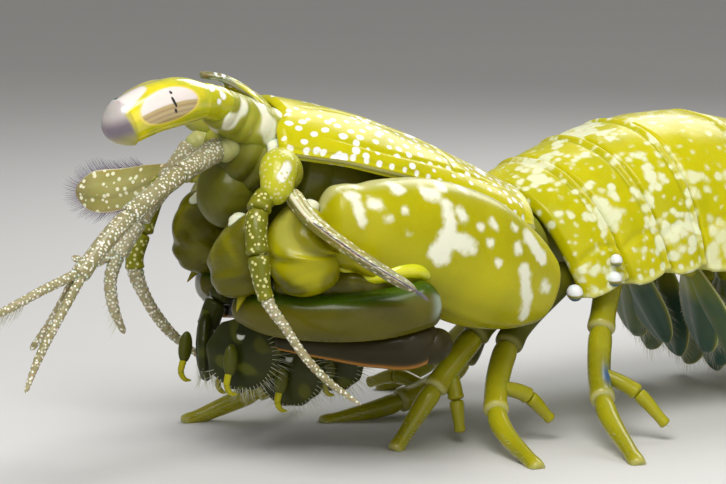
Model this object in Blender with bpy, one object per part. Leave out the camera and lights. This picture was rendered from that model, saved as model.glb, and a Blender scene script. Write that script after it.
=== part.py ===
"""Mantis shrimp, life size, as a still museum model.

Every size is in millimetres, and the finished meshes are turned into metres at the end.
The animal faces -X with its left side towards -Y, and +Z is up. Sizes are given in a
working frame whose Z is 0 on the floor and whose X and Y are 0 at the middle of the
carapace's front edge. CENTRE_X and CENTRE_Y move the model so that the origin lies
under the middle of its box.
"""
import math

import bmesh
import bpy
import numpy as np
from mathutils import Matrix, Vector
from mathutils.bvhtree import BVHTree

MM = 0.001
GAP = 0.3
CENTRE_X = 22.35
CENTRE_Y = -2.0
LEFT = -1.0
RIGHT = 1.0
MAX_SHELL = 1.6
SMOOTH_ANGLE = math.radians(40)

# Middle line of the back from the carapace to the telson, as x and z.
BACK_LINE = (
    (15.7, 14.1), (20.0, 15.8), (24.5, 17.1), (29.0, 17.5), (34.5, 16.5),
    (41.0, 13.9), (47.5, 10.7), (53.0, 7.9), (57.6, 5.5),
)
# Name, length along the back, half width and depth of each free somite.
SOMITES = (
    ("thorax_6", 3.0, 6.2, 7.2),
    ("thorax_7", 3.1, 6.6, 7.8),
    ("thorax_8", 3.3, 6.9, 8.3),
    ("abdomen_1", 5.5, 7.3, 8.8),
    ("abdomen_2", 5.8, 7.5, 9.0),
    ("abdomen_3", 6.0, 7.6, 8.8),
    ("abdomen_4", 6.1, 7.6, 8.4),
    ("abdomen_5", 6.4, 7.5, 7.6),
    ("abdomen_6", 4.4, 6.9, 5.9),
)
# Sections along one somite: share of its length, of its half width and of its depth.
TERGITE_RINGS = ((0.0, 0.95, 0.9), (0.25, 0.99, 0.98), (0.75, 1.01, 1.0), (1.0, 0.985, 0.96))
TERGITE_POWER = 2.35
TERGITE_STEPS = 14
PLEURON_THICK = 0.95
PLEURON_HOLLOW = 0.25
BELLY_SHARE = 0.86
BELLY_FLAT = 0.55

# The carapace: its middle line as x and z, then half width and side drop along it.
CARAPACE_LINE = ((0.0, 20.0), (4.0, 19.15), (8.0, 17.8), (12.0, 16.0), (15.4, 14.35))
CARAPACE_WIDTH = ((0.0, 4.3), (0.25, 5.8), (0.55, 6.5), (0.85, 6.8), (1.0, 6.5))
CARAPACE_DROP = ((0.0, 3.0), (0.3, 2.9), (0.6, 2.7), (1.0, 2.4))
CARAPACE_THICK = 0.9
CARAPACE_ARC = math.radians(76)
# How far the front corners reach past the middle of the front edge, and the shares of the
# half width between which they do.
FRONT_REACH = 0.9
FRONT_CORNER = (0.35, 0.75)

ROSTRUM_LENGTH = 3.9
ROSTRUM_RISE = 1.35
ROSTRUM_HALF_WIDTH = 2.3
ROSTRUM_THICK = 0.65
ROSTRUM_CROWN = 0.3
ROSTRUM_ARCH = 0.45
# Share of the rostral plate's length and of its half width there.
ROSTRUM_OUTLINE = (
    (0.0, 0.86), (0.16, 1.0), (0.36, 0.92), (0.46, 0.5), (0.56, 0.22), (0.8, 0.14), (1.0, 0.05),
)

# Rows of a limb piece are x, y, z, half width, half height.
CORE = (
    (0.4, 0, 15.2, 3.3, 3.2), (4.0, 0, 13.9, 4.1, 3.8), (8.0, 0, 12.6, 4.4, 3.7),
    (12.0, 0, 11.2, 4.5, 3.4), (15.0, 0, 10.1, 4.6, 3.1), (17.0, 0, 10.5, 4.6, 2.9),
)
HEAD = ((0.1, 0, 15.9, 3.0, 2.8), (-1.6, 0, 16.8, 2.8, 2.3), (-3.3, 0, 17.6, 2.2, 1.6))
MOUTH = ((-0.6, 0, 12.7, 2.0, 1.2), (0.4, 0, 10.4, 2.3, 1.6), (1.6, 0, 9.0, 1.6, 1.1))

EYESTALK = {
    LEFT: ((-2.2, -1.5, 18.9, 0.75, 0.75), (-5.0, -2.5, 20.05, 0.95, 0.95)),
    RIGHT: ((-2.4, 1.5, 18.9, 0.75, 0.75), (-2.9, 4.5, 19.45, 0.95, 0.95)),
}
EYE_END = 1.2
EYE = {
    LEFT: (
        (-5.3, -2.5, 20.1, 1.0, 1.0), (-6.8, -2.6, 20.15, 1.25, 1.32),
        (-8.4, -2.6, 19.85, 1.28, 1.35), (-10.0, -2.6, 19.25, 1.2, 1.28),
        (-11.15, -2.6, 18.75, 1.05, 1.12),
    ),
    RIGHT: (
        (-2.95, 4.8, 19.4, 1.0, 1.0), (-3.05, 6.2, 19.2, 1.25, 1.32),
        (-3.2, 7.8, 18.75, 1.28, 1.35), (-3.35, 9.3, 18.1, 1.2, 1.28),
        (-3.5, 10.35, 17.55, 1.05, 1.12),
    ),
}

ANTENNULE = {
    LEFT: (
        (-3.6, -1.3, 17.3, 0.75, 0.75), (-5.5, -2.2, 16.7, 0.62, 0.62),
        (-7.6, -3.0, 15.9, 0.55, 0.55), (-11.3, -3.8, 13.7, 0.52, 0.52),
        (-13.9, -4.3, 11.4, 0.45, 0.45),
    ),
    RIGHT: (
        (-3.6, 1.3, 17.2, 0.75, 0.75), (-4.9, 1.9, 15.4, 0.6, 0.6),
        (-6.7, 2.5, 12.9, 0.55, 0.55), (-7.7, 2.8, 11.2, 0.5, 0.5),
    ),
}
ANTENNULE_FLAGELLA = {
    LEFT: (
        ((-13.6, -4.2, 11.7, 0.3), (-16.4, -4.8, 10.9, 0.3), (-18.9, -5.3, 10.1, 0.28),
         (-22.2, -5.9, 9.6, 0.2)),
        ((-13.6, -4.4, 11.6, 0.3), (-15.5, -4.8, 9.1, 0.3), (-16.7, -5.1, 7.4, 0.28),
         (-17.6, -5.4, 5.8, 0.2)),
        ((-13.7, -4.0, 11.6, 0.3), (-14.8, -3.6, 9.4, 0.3), (-16.2, -3.3, 7.6, 0.22)),
    ),
    RIGHT: (
        ((-7.6, 2.75, 11.6, 0.36), (-8.1, 2.9, 9.9, 0.36), (-7.9, 3.0, 8.4, 0.32),
         (-7.1, 3.2, 6.7, 0.2)),
        ((-7.2, 2.7, 12.0, 0.3), (-9.0, 3.2, 10.9, 0.3), (-10.2, 3.5, 11.2, 0.22)),
        ((-7.4, 2.6, 11.8, 0.3), (-7.4, 4.2, 9.4, 0.3), (-6.9, 5.0, 7.6, 0.22)),
    ),
}

# Antenna: a stout base, then a peduncle, then a whip.
ANTENNA_BASE = {
    LEFT: ((-0.6, -3.4, 15.9, 1.1, 1.1), (-1.4, -4.7, 15.95, 1.3, 1.25), (-2.2, -5.9, 15.5, 0.9, 0.9)),
    RIGHT: ((-0.6, 3.4, 15.9, 1.1, 1.1), (-1.4, 4.7, 15.95, 1.3, 1.25), (-2.2, 5.9, 15.5, 0.9, 0.9)),
}
ANTENNA_WHIP = {
    LEFT: (
        (-2.0, -5.3, 15.5, 0.6), (-3.9, -6.2, 14.7, 0.62), (-4.5, -6.8, 13.4, 0.6),
        (-4.6, -7.3, 11.6, 0.58), (-4.5, -7.7, 10.0, 0.45), (-3.7, -8.4, 8.4, 0.34),
        (-3.0, -9.2, 6.9, 0.32), (-1.7, -10.0, 5.3, 0.28), (-0.3, -10.6, 4.2, 0.2),
    ),
    RIGHT: (
        (-2.0, 5.3, 15.5, 0.6), (-3.4, 5.7, 14.4, 0.62), (-4.3, 5.8, 12.4, 0.6),
        (-5.0, 5.8, 10.0, 0.5), (-4.5, 5.6, 8.4, 0.36), (-3.3, 5.2, 6.4, 0.32),
        (-1.1, 4.7, 4.4, 0.2),
    ),
}
SCALE_BLADE = {
    LEFT: (
        (-1.9, -6.1, 15.2, 0.45, 0.55), (-1.9, -8.2, 14.0, 0.4, 1.1),
        (-0.8, -10.1, 12.6, 0.36, 1.5), (0.7, -11.6, 11.3, 0.32, 1.5),
        (1.9, -12.6, 10.4, 0.28, 1.1),
    ),
    RIGHT: (
        (-1.9, 6.0, 15.2, 0.45, 0.5), (-3.0, 7.8, 14.6, 0.4, 0.9),
        (-4.0, 9.2, 14.0, 0.36, 1.2), (-5.0, 10.4, 13.8, 0.32, 1.2),
        (-5.8, 11.3, 13.8, 0.28, 0.8),
    ),
}
SCALE_UP = {LEFT: (-0.62, -0.74, 0.21), RIGHT: (0.12, 0.12, 1.0)}

# The raptorial claw: the upper arm lies along the thorax, the hand folds back below it.
ISCHIUM = ((9.6, -4.2, 8.6, 1.0, 1.1), (12.2, -5.9, 8.1, 1.2, 1.3), (14.3, -6.9, 8.4, 1.2, 1.3))
MERUS = (
    (14.7, -7.1, 8.5, 1.2, 1.5), (12.6, -7.3, 9.35, 1.8, 2.75), (10.0, -7.5, 10.4, 2.15, 3.5),
    (7.0, -7.5, 11.7, 2.3, 3.65), (4.0, -7.4, 12.65, 2.25, 3.2), (1.4, -7.1, 13.25, 2.0, 2.5),
    (-0.6, -6.7, 13.5, 1.6, 1.9),
)
CARPUS = (
    (-0.9, -6.5, 13.4, 1.5, 1.7), (-2.4, -5.6, 12.7, 1.6, 1.7), (-3.2, -4.5, 11.2, 1.5, 1.5),
    (-3.5, -3.4, 9.6, 1.1, 1.2),
)
PROPODUS = (
    (-3.5, -3.0, 8.9, 0.9, 0.7), (-2.6, -4.9, 8.6, 1.1, 1.15), (-0.7, -7.0, 8.45, 1.25, 1.3),
    (2.3, -8.9, 8.65, 1.3, 1.35), (5.2, -10.0, 9.35, 1.15, 1.3),
)
DACTYL = (
    (5.3, -9.9, 7.0, 0.7, 0.7), (4.0, -9.3, 6.3, 1.15, 0.9), (2.2, -8.3, 6.2, 0.9, 0.7),
    (0.2, -6.9, 6.4, 0.55, 0.5), (-2.2, -4.8, 6.7, 0.3, 0.3),
)
# Name, rows, stations, sides, rounded ends, squareness and finish of each piece of the claw.
CLAW_PIECES = (
    ("raptorial_ischium", ISCHIUM, 5, 10, (0.0, 0.4), 2.2, "arm"),
    ("raptorial_merus", MERUS, 11, 16, (0.5, 0.5), 2.2, "arm"),
    ("raptorial_carpus", CARPUS, 7, 12, (0.3, 0.3), 2.2, "arm"),
    ("raptorial_propodus", PROPODUS, 9, 12, (0.3, 0.9), 2.2, "hand"),
    ("raptorial_dactyl", DACTYL, 8, 8, (0.4, 0.3), 2.0, "hand"),
)
# Teeth on the lower edge of the carpus: root, then tip.
CARPUS_TEETH = (
    ((-3.6, -4.2, 10.2), (-4.5, -4.7, 8.8)), ((-3.4, -5.4, 10.9), (-4.0, -6.5, 9.8)),
)
CARPUS_TOOTH_RADIUS = 0.35
CLAW_SHIFT = {LEFT: (0.0, 0.0, 0.0), RIGHT: (2.3, 0.0, 0.2)}

# Maxillipeds: where each stem leaves the body, where it bends and where its disc lies.
MAXILLIPEDS = {
    "maxilliped_3": ((2.6, 1.5, 10.0), (-1.9, 1.8, 8.3), (-2.5, 2.0, 5.9), 2.0),
    "maxilliped_4": ((4.6, 1.7, 9.2), (0.9, 2.4, 7.4), (0.2, 2.7, 4.6), 1.8),
    "maxilliped_5": ((6.8, 1.8, 8.7), (3.9, 2.7, 7.0), (3.0, 2.9, 4.9), 1.5),
}
DISC_THICK = 1.1
DISC_FACING = (-0.45, 0.35, 0.0)
STEM_RADIUS = (0.7, 0.65, 0.6)
# Hooked claw of a maxilliped: forward reach, rise of its root and tip as shares of the disc.
HOOK_REACH = 0.9
HOOK_RADIUS = 0.4
HOOK_HEIGHTS = (0.7, 0.55)

# Walking legs: hip, two bends and foot, then the end of the stick that grows from the leg.
LEGS = {
    ("walking_leg_1", LEFT): (
        (15.2, -3.2, 8.2), (11.6, -4.0, 5.8), (8.6, -4.4, 3.1), (5.6, -4.8, 0.0), (9.9, -5.2, 0.6)),
    ("walking_leg_2", LEFT): (
        (18.9, -3.7, 9.2), (13.1, -5.2, 5.2), (10.5, -7.9, 2.1), (9.6, -13.2, 0.0), (14.7, -7.4, 1.2)),
    ("walking_leg_3", LEFT): (
        (21.9, -3.8, 9.9), (19.3, -5.9, 5.6), (16.4, -10.0, 2.5), (14.8, -15.4, 0.0), (20.2, -11.0, 0.9)),
    ("walking_leg_1", RIGHT): (
        (15.2, 3.2, 8.2), (9.4, 5.8, 4.6), (3.8, 7.4, 1.6), (-0.3, 8.8, 0.0), (8.2, 8.6, 1.2)),
    ("walking_leg_2", RIGHT): (
        (18.9, 3.7, 9.2), (16.6, 4.4, 2.6), (11.3, 3.4, 0.85), (6.5, 4.4, 0.0), (12.0, 7.6, 1.3)),
    ("walking_leg_3", RIGHT): (
        (21.9, 3.9, 9.9), (19.6, 6.2, 5.2), (17.8, 9.4, 1.8), (15.0, 11.2, 0.0), (20.6, 11.4, 0.8)),
}
LEG_RADIUS = (0.9, 0.78, 0.72, 0.5)
STICK_RADIUS = (0.4, 0.45, 0.28)
STICK_ROOT = 0.6
STICK_RISE = 0.5
FOOT_SINK = 0.12

# Swimmerets: distance from the middle, place along the somite, backward sweep, blade length,
# half width and half thickness, sideways lean of the two blades, and room over the floor.
PLEOPOD_SOMITES = ("abdomen_1", "abdomen_2", "abdomen_3", "abdomen_4", "abdomen_5")
PLEOPOD_SPREAD = 3.3
PLEOPOD_ROOT = 0.34
PLEOPOD_SWEEP = math.radians(16)
PLEOPOD_BLADE = (6.8, 1.7, 0.3)
PLEOPOD_STEM = (0.8, 0.75, 0.7)
PLEOPOD_KNEE = 0.3
PLEOPOD_LEANS = (-0.22, 0.26)
PLEOPOD_CLEARANCE = 1.0

TELSON_LENGTH = 9.3
TELSON_HALF_WIDTH = 5.3
TELSON_DROP = math.radians(28.5)
# Share of the telson's length, of its half width, and the thickness there.
TELSON_OUTLINE = (
    (0.0, 0.86, 2.8), (0.15, 0.98, 3.0), (0.4, 1.0, 2.7), (0.7, 0.9, 2.0), (0.9, 0.7, 1.3),
    (1.0, 0.55, 0.8),
)
# Marginal teeth: distance from the middle, place of the root along the telson, and length.
TELSON_TEETH = ((1.45, 7.9, 3.0), (3.3, 7.0, 2.9), (4.5, 6.0, 2.4))
TELSON_TOOTH_RADIUS = 0.6
# Ridges on the telson: distance from the middle, first and last share of the length, half
# height and half width.
TELSON_RIDGES = (
    (0.0, 0.16, 0.88, 0.8, 0.68), (1.9, 0.22, 0.86, 0.66, 0.55), (3.6, 0.28, 0.86, 0.6, 0.45),
)
# How a ridge swells along its length.
RIDGE_SWELL = ((0.0, 0.45), (0.35, 1.0), (0.7, 0.95), (1.0, 0.5))
RIDGE_TAPER = 0.25
RIDGE_SINK = 0.3
RIDGE_FALL = 0.065
# Ridges of the sixth somite: distance from the middle and half height; each ends in a spine.
SIXTH_RIDGES = ((1.3, 0.5), (3.2, 0.48), (4.9, 0.42))
SIXTH_SWELL = ((0.2, 0.5), (0.5, 1.0), (0.85, 1.0))
SIXTH_HALF_WIDTH = 0.42
SIXTH_SPINE = 1.0
SIXTH_SPINE_RADIUS = 0.34

UROPOD = {
    "base": ((56.0, 5.0, 3.2, 0.9, 0.9), (59.2, 6.7, 1.9, 1.0, 0.8)),
    "outer": ((58.8, 6.9, 1.9, 0.5, 0.5), (61.2, 8.2, 1.5, 0.5, 1.15), (63.6, 9.4, 1.2, 0.45, 1.35),
              (65.4, 10.3, 0.95, 0.4, 1.2), (66.8, 11.0, 0.8, 0.3, 0.6)),
    "inner": ((58.8, 6.4, 1.6, 0.45, 0.5), (61.4, 6.7, 1.3, 0.4, 1.0), (63.8, 7.0, 1.0, 0.36, 1.0),
              (65.6, 7.3, 0.8, 0.3, 0.5)),
}

# Movable spines of the outer blade: how many, first and last place along it, and length.
UROPOD_SPINES = 9
UROPOD_SPINE_SPAN = (0.16, 0.64)
UROPOD_SPINE_LENGTH = (0.75, 1.45)
UROPOD_SPINE_RADIUS = 0.24
UROPOD_SPINE_AIM = (0.75, 0.65, -0.05)
# Spines under the uropod's base: reach and distance inwards.
BASE_SPINES = ((3.6, 0.55), (2.6, -0.15))
BASE_SPINE_RADIUS = 0.45

# Colour, roughness and metallic value of each finish.
FINISHES = {
    "shell": ((0.56, 0.62, 0.05), 0.28, 0.0),
    "rostral": ((0.62, 0.62, 0.42), 0.3, 0.0),
    "cornea": ((0.72, 0.62, 0.36), 0.12, 0.0),
    "stalk": ((0.72, 0.66, 0.12), 0.35, 0.0),
    "feeler": ((0.6, 0.6, 0.34), 0.4, 0.0),
    "membrane": ((0.5, 0.52, 0.16), 0.45, 0.0),
    "arm": ((0.48, 0.56, 0.05), 0.22, 0.0),
    "hand": ((0.14, 0.24, 0.05), 0.18, 0.0),
    "mouth": ((0.1, 0.2, 0.05), 0.4, 0.0),
    "leg": ((0.62, 0.62, 0.06), 0.32, 0.0),
    "swimmeret": ((0.2, 0.46, 0.42), 0.38, 0.0),
}


PARTS = []


def clear_scene():
    """Take every object out of the open scene."""
    for item in list(bpy.data.objects):
        bpy.data.objects.remove(item, do_unlink=True)


def make_finish(name, kind):
    """Give one sub-part its own Principled material."""
    colour, roughness, metallic = FINISHES[kind]
    material = bpy.data.materials.new(name + "_finish")
    material.use_nodes = True
    shader = material.node_tree.nodes["Principled BSDF"]
    shader.inputs["Base Color"].default_value = (*colour, 1.0)
    shader.inputs["Roughness"].default_value = roughness
    shader.inputs["Metallic"].default_value = metallic
    return material


def spline(rows, fractions):
    """Sample a smooth curve through rows of numbers at fractions of its length."""
    points = np.array(rows, dtype=float)
    place = min(3, points.shape[1])
    chords = np.linalg.norm(np.diff(points[:, :place], axis=0), axis=1)
    knots = np.concatenate(([0.0], np.cumsum(chords)))
    slopes = np.gradient(points, knots, axis=0)
    result = []
    for fraction in fractions:
        target = min(max(fraction, 0.0), 1.0) * knots[-1]
        index = min(int(np.searchsorted(knots, target, side="right")) - 1, len(knots) - 2)
        span = knots[index + 1] - knots[index]
        t = (target - knots[index]) / span
        start, end = points[index], points[index + 1]
        rise, fall = slopes[index] * span, slopes[index + 1] * span
        result.append(
            (2 * t**3 - 3 * t**2 + 1) * start
            + (t**3 - 2 * t**2 + t) * rise
            + (3 * t**2 - 2 * t**3) * end
            + (t**3 - t**2) * fall
        )
    return result


def curve_length(rows):
    """Length of the smooth curve through rows, in millimetres."""
    samples = np.array(spline(rows, np.linspace(0.0, 1.0, 60)))[:, :3]
    return float(np.linalg.norm(np.diff(samples, axis=0), axis=1).sum())


def even_fractions(stations):
    """Fractions of a length that crowd a little towards both ends."""
    steps = np.linspace(0.0, 1.0, stations)
    return 0.45 * steps + 0.55 * (1.0 - np.cos(math.pi * steps)) / 2.0


def oval(centre, side, up, half_width, half_height, sides, power):
    """Points of a superellipse in the plane of side and up."""
    ring = []
    for step in range(sides):
        angle = 2.0 * math.pi * step / sides
        across, rise = math.cos(angle), math.sin(angle)
        across = math.copysign(abs(across) ** (2.0 / power), across)
        rise = math.copysign(abs(rise) ** (2.0 / power), rise)
        ring.append(centre + side * (half_width * across) + up * (half_height * rise))
    return ring


def loft(rings):
    """Closed bmesh body through rings of equal count, split alike on both faces."""
    body = bmesh.new()
    count = len(rings[0])
    layers = [[body.verts.new(point) for point in ring] for ring in rings]
    for lower, upper in zip(layers, layers[1:]):
        for step in range(count):
            ahead = (step + 1) % count
            if step < count // 2:
                body.faces.new((lower[step], lower[ahead], upper[ahead]))
                body.faces.new((lower[step], upper[ahead], upper[step]))
            else:
                body.faces.new((lower[step], lower[ahead], upper[step]))
                body.faces.new((lower[ahead], upper[ahead], upper[step]))
    body.faces.new(list(reversed(layers[0])))
    body.faces.new(layers[-1])
    bmesh.ops.recalc_face_normals(body, faces=body.faces)
    return body


def sweep(rows, stations, sides, ends=(0.0, 0.0), power=2.0, up=(0.0, 0.0, 1.0)):
    """Closed body swept along a curve, rounded off over a length at each end."""
    rows = [tuple(row) + (row[3],) if len(row) == 4 else tuple(row) for row in rows]
    length = curve_length(rows)
    fractions = even_fractions(stations)
    samples = spline(rows, fractions)
    ahead = spline(rows, [min(f + 0.01, 1.0) for f in fractions])
    behind = spline(rows, [max(f - 0.01, 0.0) for f in fractions])
    rings = []
    for fraction, sample, after, before in zip(fractions, samples, ahead, behind):
        tangent = Vector(after[:3] - before[:3]).normalized()
        side = Vector(up).cross(tangent).normalized()
        lift = tangent.cross(side)
        shrink = 1.0
        for reach, distance in zip(ends, (fraction * length, (1.0 - fraction) * length)):
            if distance < reach:
                shrink = min(shrink, math.sqrt(max(1.0 - (1.0 - distance / reach) ** 2, 0.0)))
        shrink = max(shrink, 0.32)
        rings.append(oval(Vector(sample[:3]), side, lift, sample[3] * shrink,
                          sample[4] * shrink, sides, power))
    return loft(rings)


def shell(outer, inner):
    """Closed plate between two grids of points of the same size."""
    body = bmesh.new()
    grids = [[[body.verts.new(point) for point in row] for row in grid] for grid in (outer, inner)]
    rows, columns = len(outer), len(outer[0])
    for side, grid in enumerate(grids):
        for r in range(rows - 1):
            for c in range(columns - 1):
                corners = (grid[r][c], grid[r][c + 1], grid[r + 1][c + 1], grid[r + 1][c])
                if c >= columns // 2:
                    corners = corners[1:] + corners[:1]
                first = (corners[0], corners[1], corners[2])
                second = (corners[0], corners[2], corners[3])
                for triangle in (first, second):
                    body.faces.new(triangle if side == 0 else tuple(reversed(triangle)))
    border = [(0, c) for c in range(columns)]
    border += [(r, columns - 1) for r in range(1, rows)]
    border += [(rows - 1, c) for c in range(columns - 2, -1, -1)]
    border += [(r, 0) for r in range(rows - 2, 0, -1)]
    for here, there in zip(border, border[1:] + border[:1]):
        face = [grids[0][here[0]][here[1]], grids[0][there[0]][there[1]],
                grids[1][there[0]][there[1]], grids[1][here[0]][here[1]]]
        body.faces.new(face)
    bmesh.ops.recalc_face_normals(body, faces=body.faces)
    return body


def cone(tip, root, radius, sides=5):
    """Spine with its root sunk at root and its point at tip."""
    tip, root = Vector(tip), Vector(root)
    axis = tip - root
    body = bmesh.new()
    turn = axis.to_track_quat("Z", "Y").to_matrix().to_4x4()
    bmesh.ops.create_cone(body, cap_ends=True, segments=sides, radius1=radius,
                          radius2=radius * 0.18, depth=axis.length,
                          matrix=Matrix.Translation((tip + root) / 2.0) @ turn)
    return body


def to_object(name, body):
    """Put a bmesh into a new object of the scene."""
    mesh = bpy.data.meshes.new(name)
    body.to_mesh(mesh)
    body.free()
    item = bpy.data.objects.new(name, mesh)
    bpy.context.scene.collection.objects.link(item)
    return item


def keep_largest(mesh):
    """Leave only the largest closed surface of a mesh."""
    body = bmesh.new()
    body.from_mesh(mesh)
    left = set(body.verts)
    groups = []
    while left:
        stack = [left.pop()]
        group = set(stack)
        while stack:
            for edge in stack.pop().link_edges:
                for vertex in edge.verts:
                    if vertex in left:
                        left.discard(vertex)
                        group.add(vertex)
                        stack.append(vertex)
        groups.append(group)
    groups.sort(key=len, reverse=True)
    scraps = [vertex for group in groups[1:] for vertex in group]
    bmesh.ops.delete(body, geom=scraps, context="VERTS")
    bmesh.ops.triangulate(body, faces=body.faces)
    body.to_mesh(mesh)
    body.free()


def union(name, bodies, solver="EXACT"):
    """Join closed bodies into one by a Boolean on a collection of them."""
    first = to_object(name, bodies[0])
    if len(bodies) == 1:
        return first
    group = bpy.data.collections.new(name + "_pieces")
    bpy.context.scene.collection.children.link(group)
    for number, body in enumerate(bodies[1:]):
        piece = to_object(f"{name}_piece_{number}", body)
        bpy.context.scene.collection.objects.unlink(piece)
        group.objects.link(piece)
    joint = first.modifiers.new("join", "BOOLEAN")
    joint.operation = "UNION"
    joint.operand_type = "COLLECTION"
    joint.collection = group
    joint.solver = solver
    bpy.context.view_layer.update()
    evaluated = first.evaluated_get(bpy.context.evaluated_depsgraph_get())
    joined = bpy.data.meshes.new_from_object(evaluated)
    first.modifiers.clear()
    first.data = joined
    for piece in list(group.objects):
        bpy.data.objects.remove(piece, do_unlink=True)
    bpy.data.collections.remove(group)
    keep_largest(first.data)
    return first


def swollen_copy(item, margin):
    """Scratch copy of a part with its skin pushed out by a margin."""
    body = bmesh.new()
    body.from_mesh(item.data)
    bmesh.ops.recalc_face_normals(body, faces=body.faces)
    body.normal_update()
    for vertex in body.verts:
        corner = min(max(vertex.calc_shell_factor(), 1.0), MAX_SHELL)
        vertex.co += vertex.normal * (margin * corner)
    return to_object(item.name + "_cutter", body)


def surface_tree(item):
    """Search tree over the faces of a part."""
    body = bmesh.new()
    body.from_mesh(item.data)
    tree = BVHTree.FromBMesh(body)
    body.free()
    return tree


def cut_clear(item, cutter):
    """Take the cutter's body out of a part and keep the largest surface left."""
    cut = item.modifiers.new("cut", "BOOLEAN")
    cut.operation = "DIFFERENCE"
    cut.object = cutter
    cut.solver = "EXACT"
    cut.use_self = True
    bpy.context.view_layer.update()
    evaluated = item.evaluated_get(bpy.context.evaluated_depsgraph_get())
    trimmed = bpy.data.meshes.new_from_object(evaluated)
    item.modifiers.clear()
    item.data = trimmed
    keep_largest(item.data)


def set_gaps(parts):
    """Cut each part clear, by the gap, of every part named before it."""
    done = []
    for item, _ in parts:
        for cutter in done:
            if surface_tree(item).overlap(surface_tree(cutter)):
                cut_clear(item, cutter)
        done.append(swollen_copy(item, GAP))
    for cutter in done:
        bpy.data.objects.remove(cutter, do_unlink=True)


def finish_part(item, kind):
    """Lay the foot flats, move to the shared frame in metres, and dress the part."""
    body = bmesh.new()
    body.from_mesh(item.data)
    for vertex in body.verts:
        vertex.co.z = max(vertex.co.z, 0.0)
    bmesh.ops.recalc_face_normals(body, faces=body.faces)
    body.to_mesh(item.data)
    body.free()
    shift = Matrix.Translation((-CENTRE_X, -CENTRE_Y, 0.0))
    item.data.transform(Matrix.Scale(MM, 4) @ shift)
    item.data.shade_smooth()
    item.data.set_sharp_from_angle(angle=SMOOTH_ANGLE)
    item.data.materials.clear()
    item.data.materials.append(make_finish(item.name, kind))


def add_part(item, kind):
    """Note a part and its finish, in the order that settles which one gives way."""
    PARTS.append((item, kind))


def mirrored(rows, side):
    """Rows of a left piece, turned over to the right where side is RIGHT."""
    return [(row[0], -row[1] if side == RIGHT else row[1], *row[2:]) for row in rows]


def moved(rows, shift):
    """Rows shifted by x, y, z."""
    return [(row[0] + shift[0], row[1] + shift[1], row[2] + shift[2], *row[3:]) for row in rows]


def side_name(name, side):
    """Node name with its side."""
    return name + ("_left" if side == LEFT else "_right")


def back_rows():
    """The line of the back as rows of x, y, z."""
    return [(x, 0.0, z) for x, z in BACK_LINE]


def back_frame(distance):
    """Point, direction and upward normal of the back line at a distance along it."""
    rows = back_rows()
    fraction = distance / curve_length(rows)
    here = spline(rows, (fraction,))[0]
    before, after = spline(rows, (fraction - 0.01, fraction + 0.01))
    along = Vector(after - before).normalized()
    return Vector(here), along, Vector((-along.z, 0.0, along.x))


def somite_spans():
    """Name, first and last distance along the back, half width and depth of each somite."""
    stretch = curve_length(back_rows()) / sum(length for _, length, _, _ in SOMITES)
    start = 0.0
    spans = []
    for name, length, half_width, depth in SOMITES:
        end = start + length * stretch
        spans.append((name, start, end, half_width, depth))
        start = end
    return spans


def somite_ring(distance, setback, half_width, depth, hang):
    """Section of a tergite: an arched back, side plates that hang, and a flat belly."""
    point, along, up = back_frame(distance)
    point = point - along * setback
    side = Vector((0.0, 1.0, 0.0))
    arch = []
    for step in range(TERGITE_STEPS + 1):
        angle = math.pi * step / TERGITE_STEPS
        across = math.copysign(abs(math.cos(angle)) ** (2.0 / TERGITE_POWER), math.cos(angle))
        rise = abs(math.sin(angle)) ** (2.0 / TERGITE_POWER)
        arch.append((half_width * across, -depth * hang * (1.0 - rise)))
    belly = depth * BELLY_SHARE
    inner = half_width - PLEURON_THICK
    edge = PLEURON_HOLLOW - min(belly, depth * hang)
    under = [(-inner, edge), (-inner * BELLY_FLAT, -belly), (inner * BELLY_FLAT, -belly), (inner, edge)]
    return [point + side * y + up * z for y, z in arch + under]


def sixth_ridges(start, end, half_width):
    """Low rounded ridges of the sixth somite, each drawn out in a short spine."""
    bodies = []
    for y, height in SIXTH_RIDGES:
        fall = 0.5 * half_width * (1.0 - math.sqrt(1.0 - (y / half_width) ** 2))
        for turn in (LEFT, RIGHT):
            rows = []
            for share, swell in SIXTH_SWELL:
                point, along, up = back_frame(start + (end - start) * share)
                seat = point + Vector((0.0, y * turn, 0.0)) - up * (RIDGE_SINK * 0.5 + fall)
                rows.append((*seat, SIXTH_HALF_WIDTH * swell, height * swell))
            bodies.append(sweep(rows, 4, 6, ends=(0.4, 0.0)))
            root = seat - along * (SIXTH_SPINE * 0.5)
            bodies.append(cone(seat + along * SIXTH_SPINE, root, SIXTH_SPINE_RADIUS, 6))
    return bodies


def make_somites():
    """The free thorax and abdomen, one closed ring of shell after another."""
    for name, start, end, half_width, depth in somite_spans():
        rings = []
        for share, wide, hang in TERGITE_RINGS:
            distance = start + (end - start) * share
            rings.append(somite_ring(distance, GAP * share, half_width * wide, depth, hang))
        bodies = [loft(rings)]
        if name == "abdomen_6":
            bodies += sixth_ridges(start, end - GAP, half_width)
        add_part(union(name, bodies), "shell")


def profile(table, fraction):
    """Value of a two-column table at a fraction, between its rows."""
    keys = [row[0] for row in table]
    values = [row[1] for row in table]
    return float(np.interp(fraction, keys, values))


def corner_reach(across, along):
    """How far the front corners of the carapace stand forward, fading out behind."""
    first, last = FRONT_CORNER
    t = min(max((across - first) / (last - first), 0.0), 1.0)
    return FRONT_REACH * t * t * (3.0 - 2.0 * t) * (1.0 - along) ** 3


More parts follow.
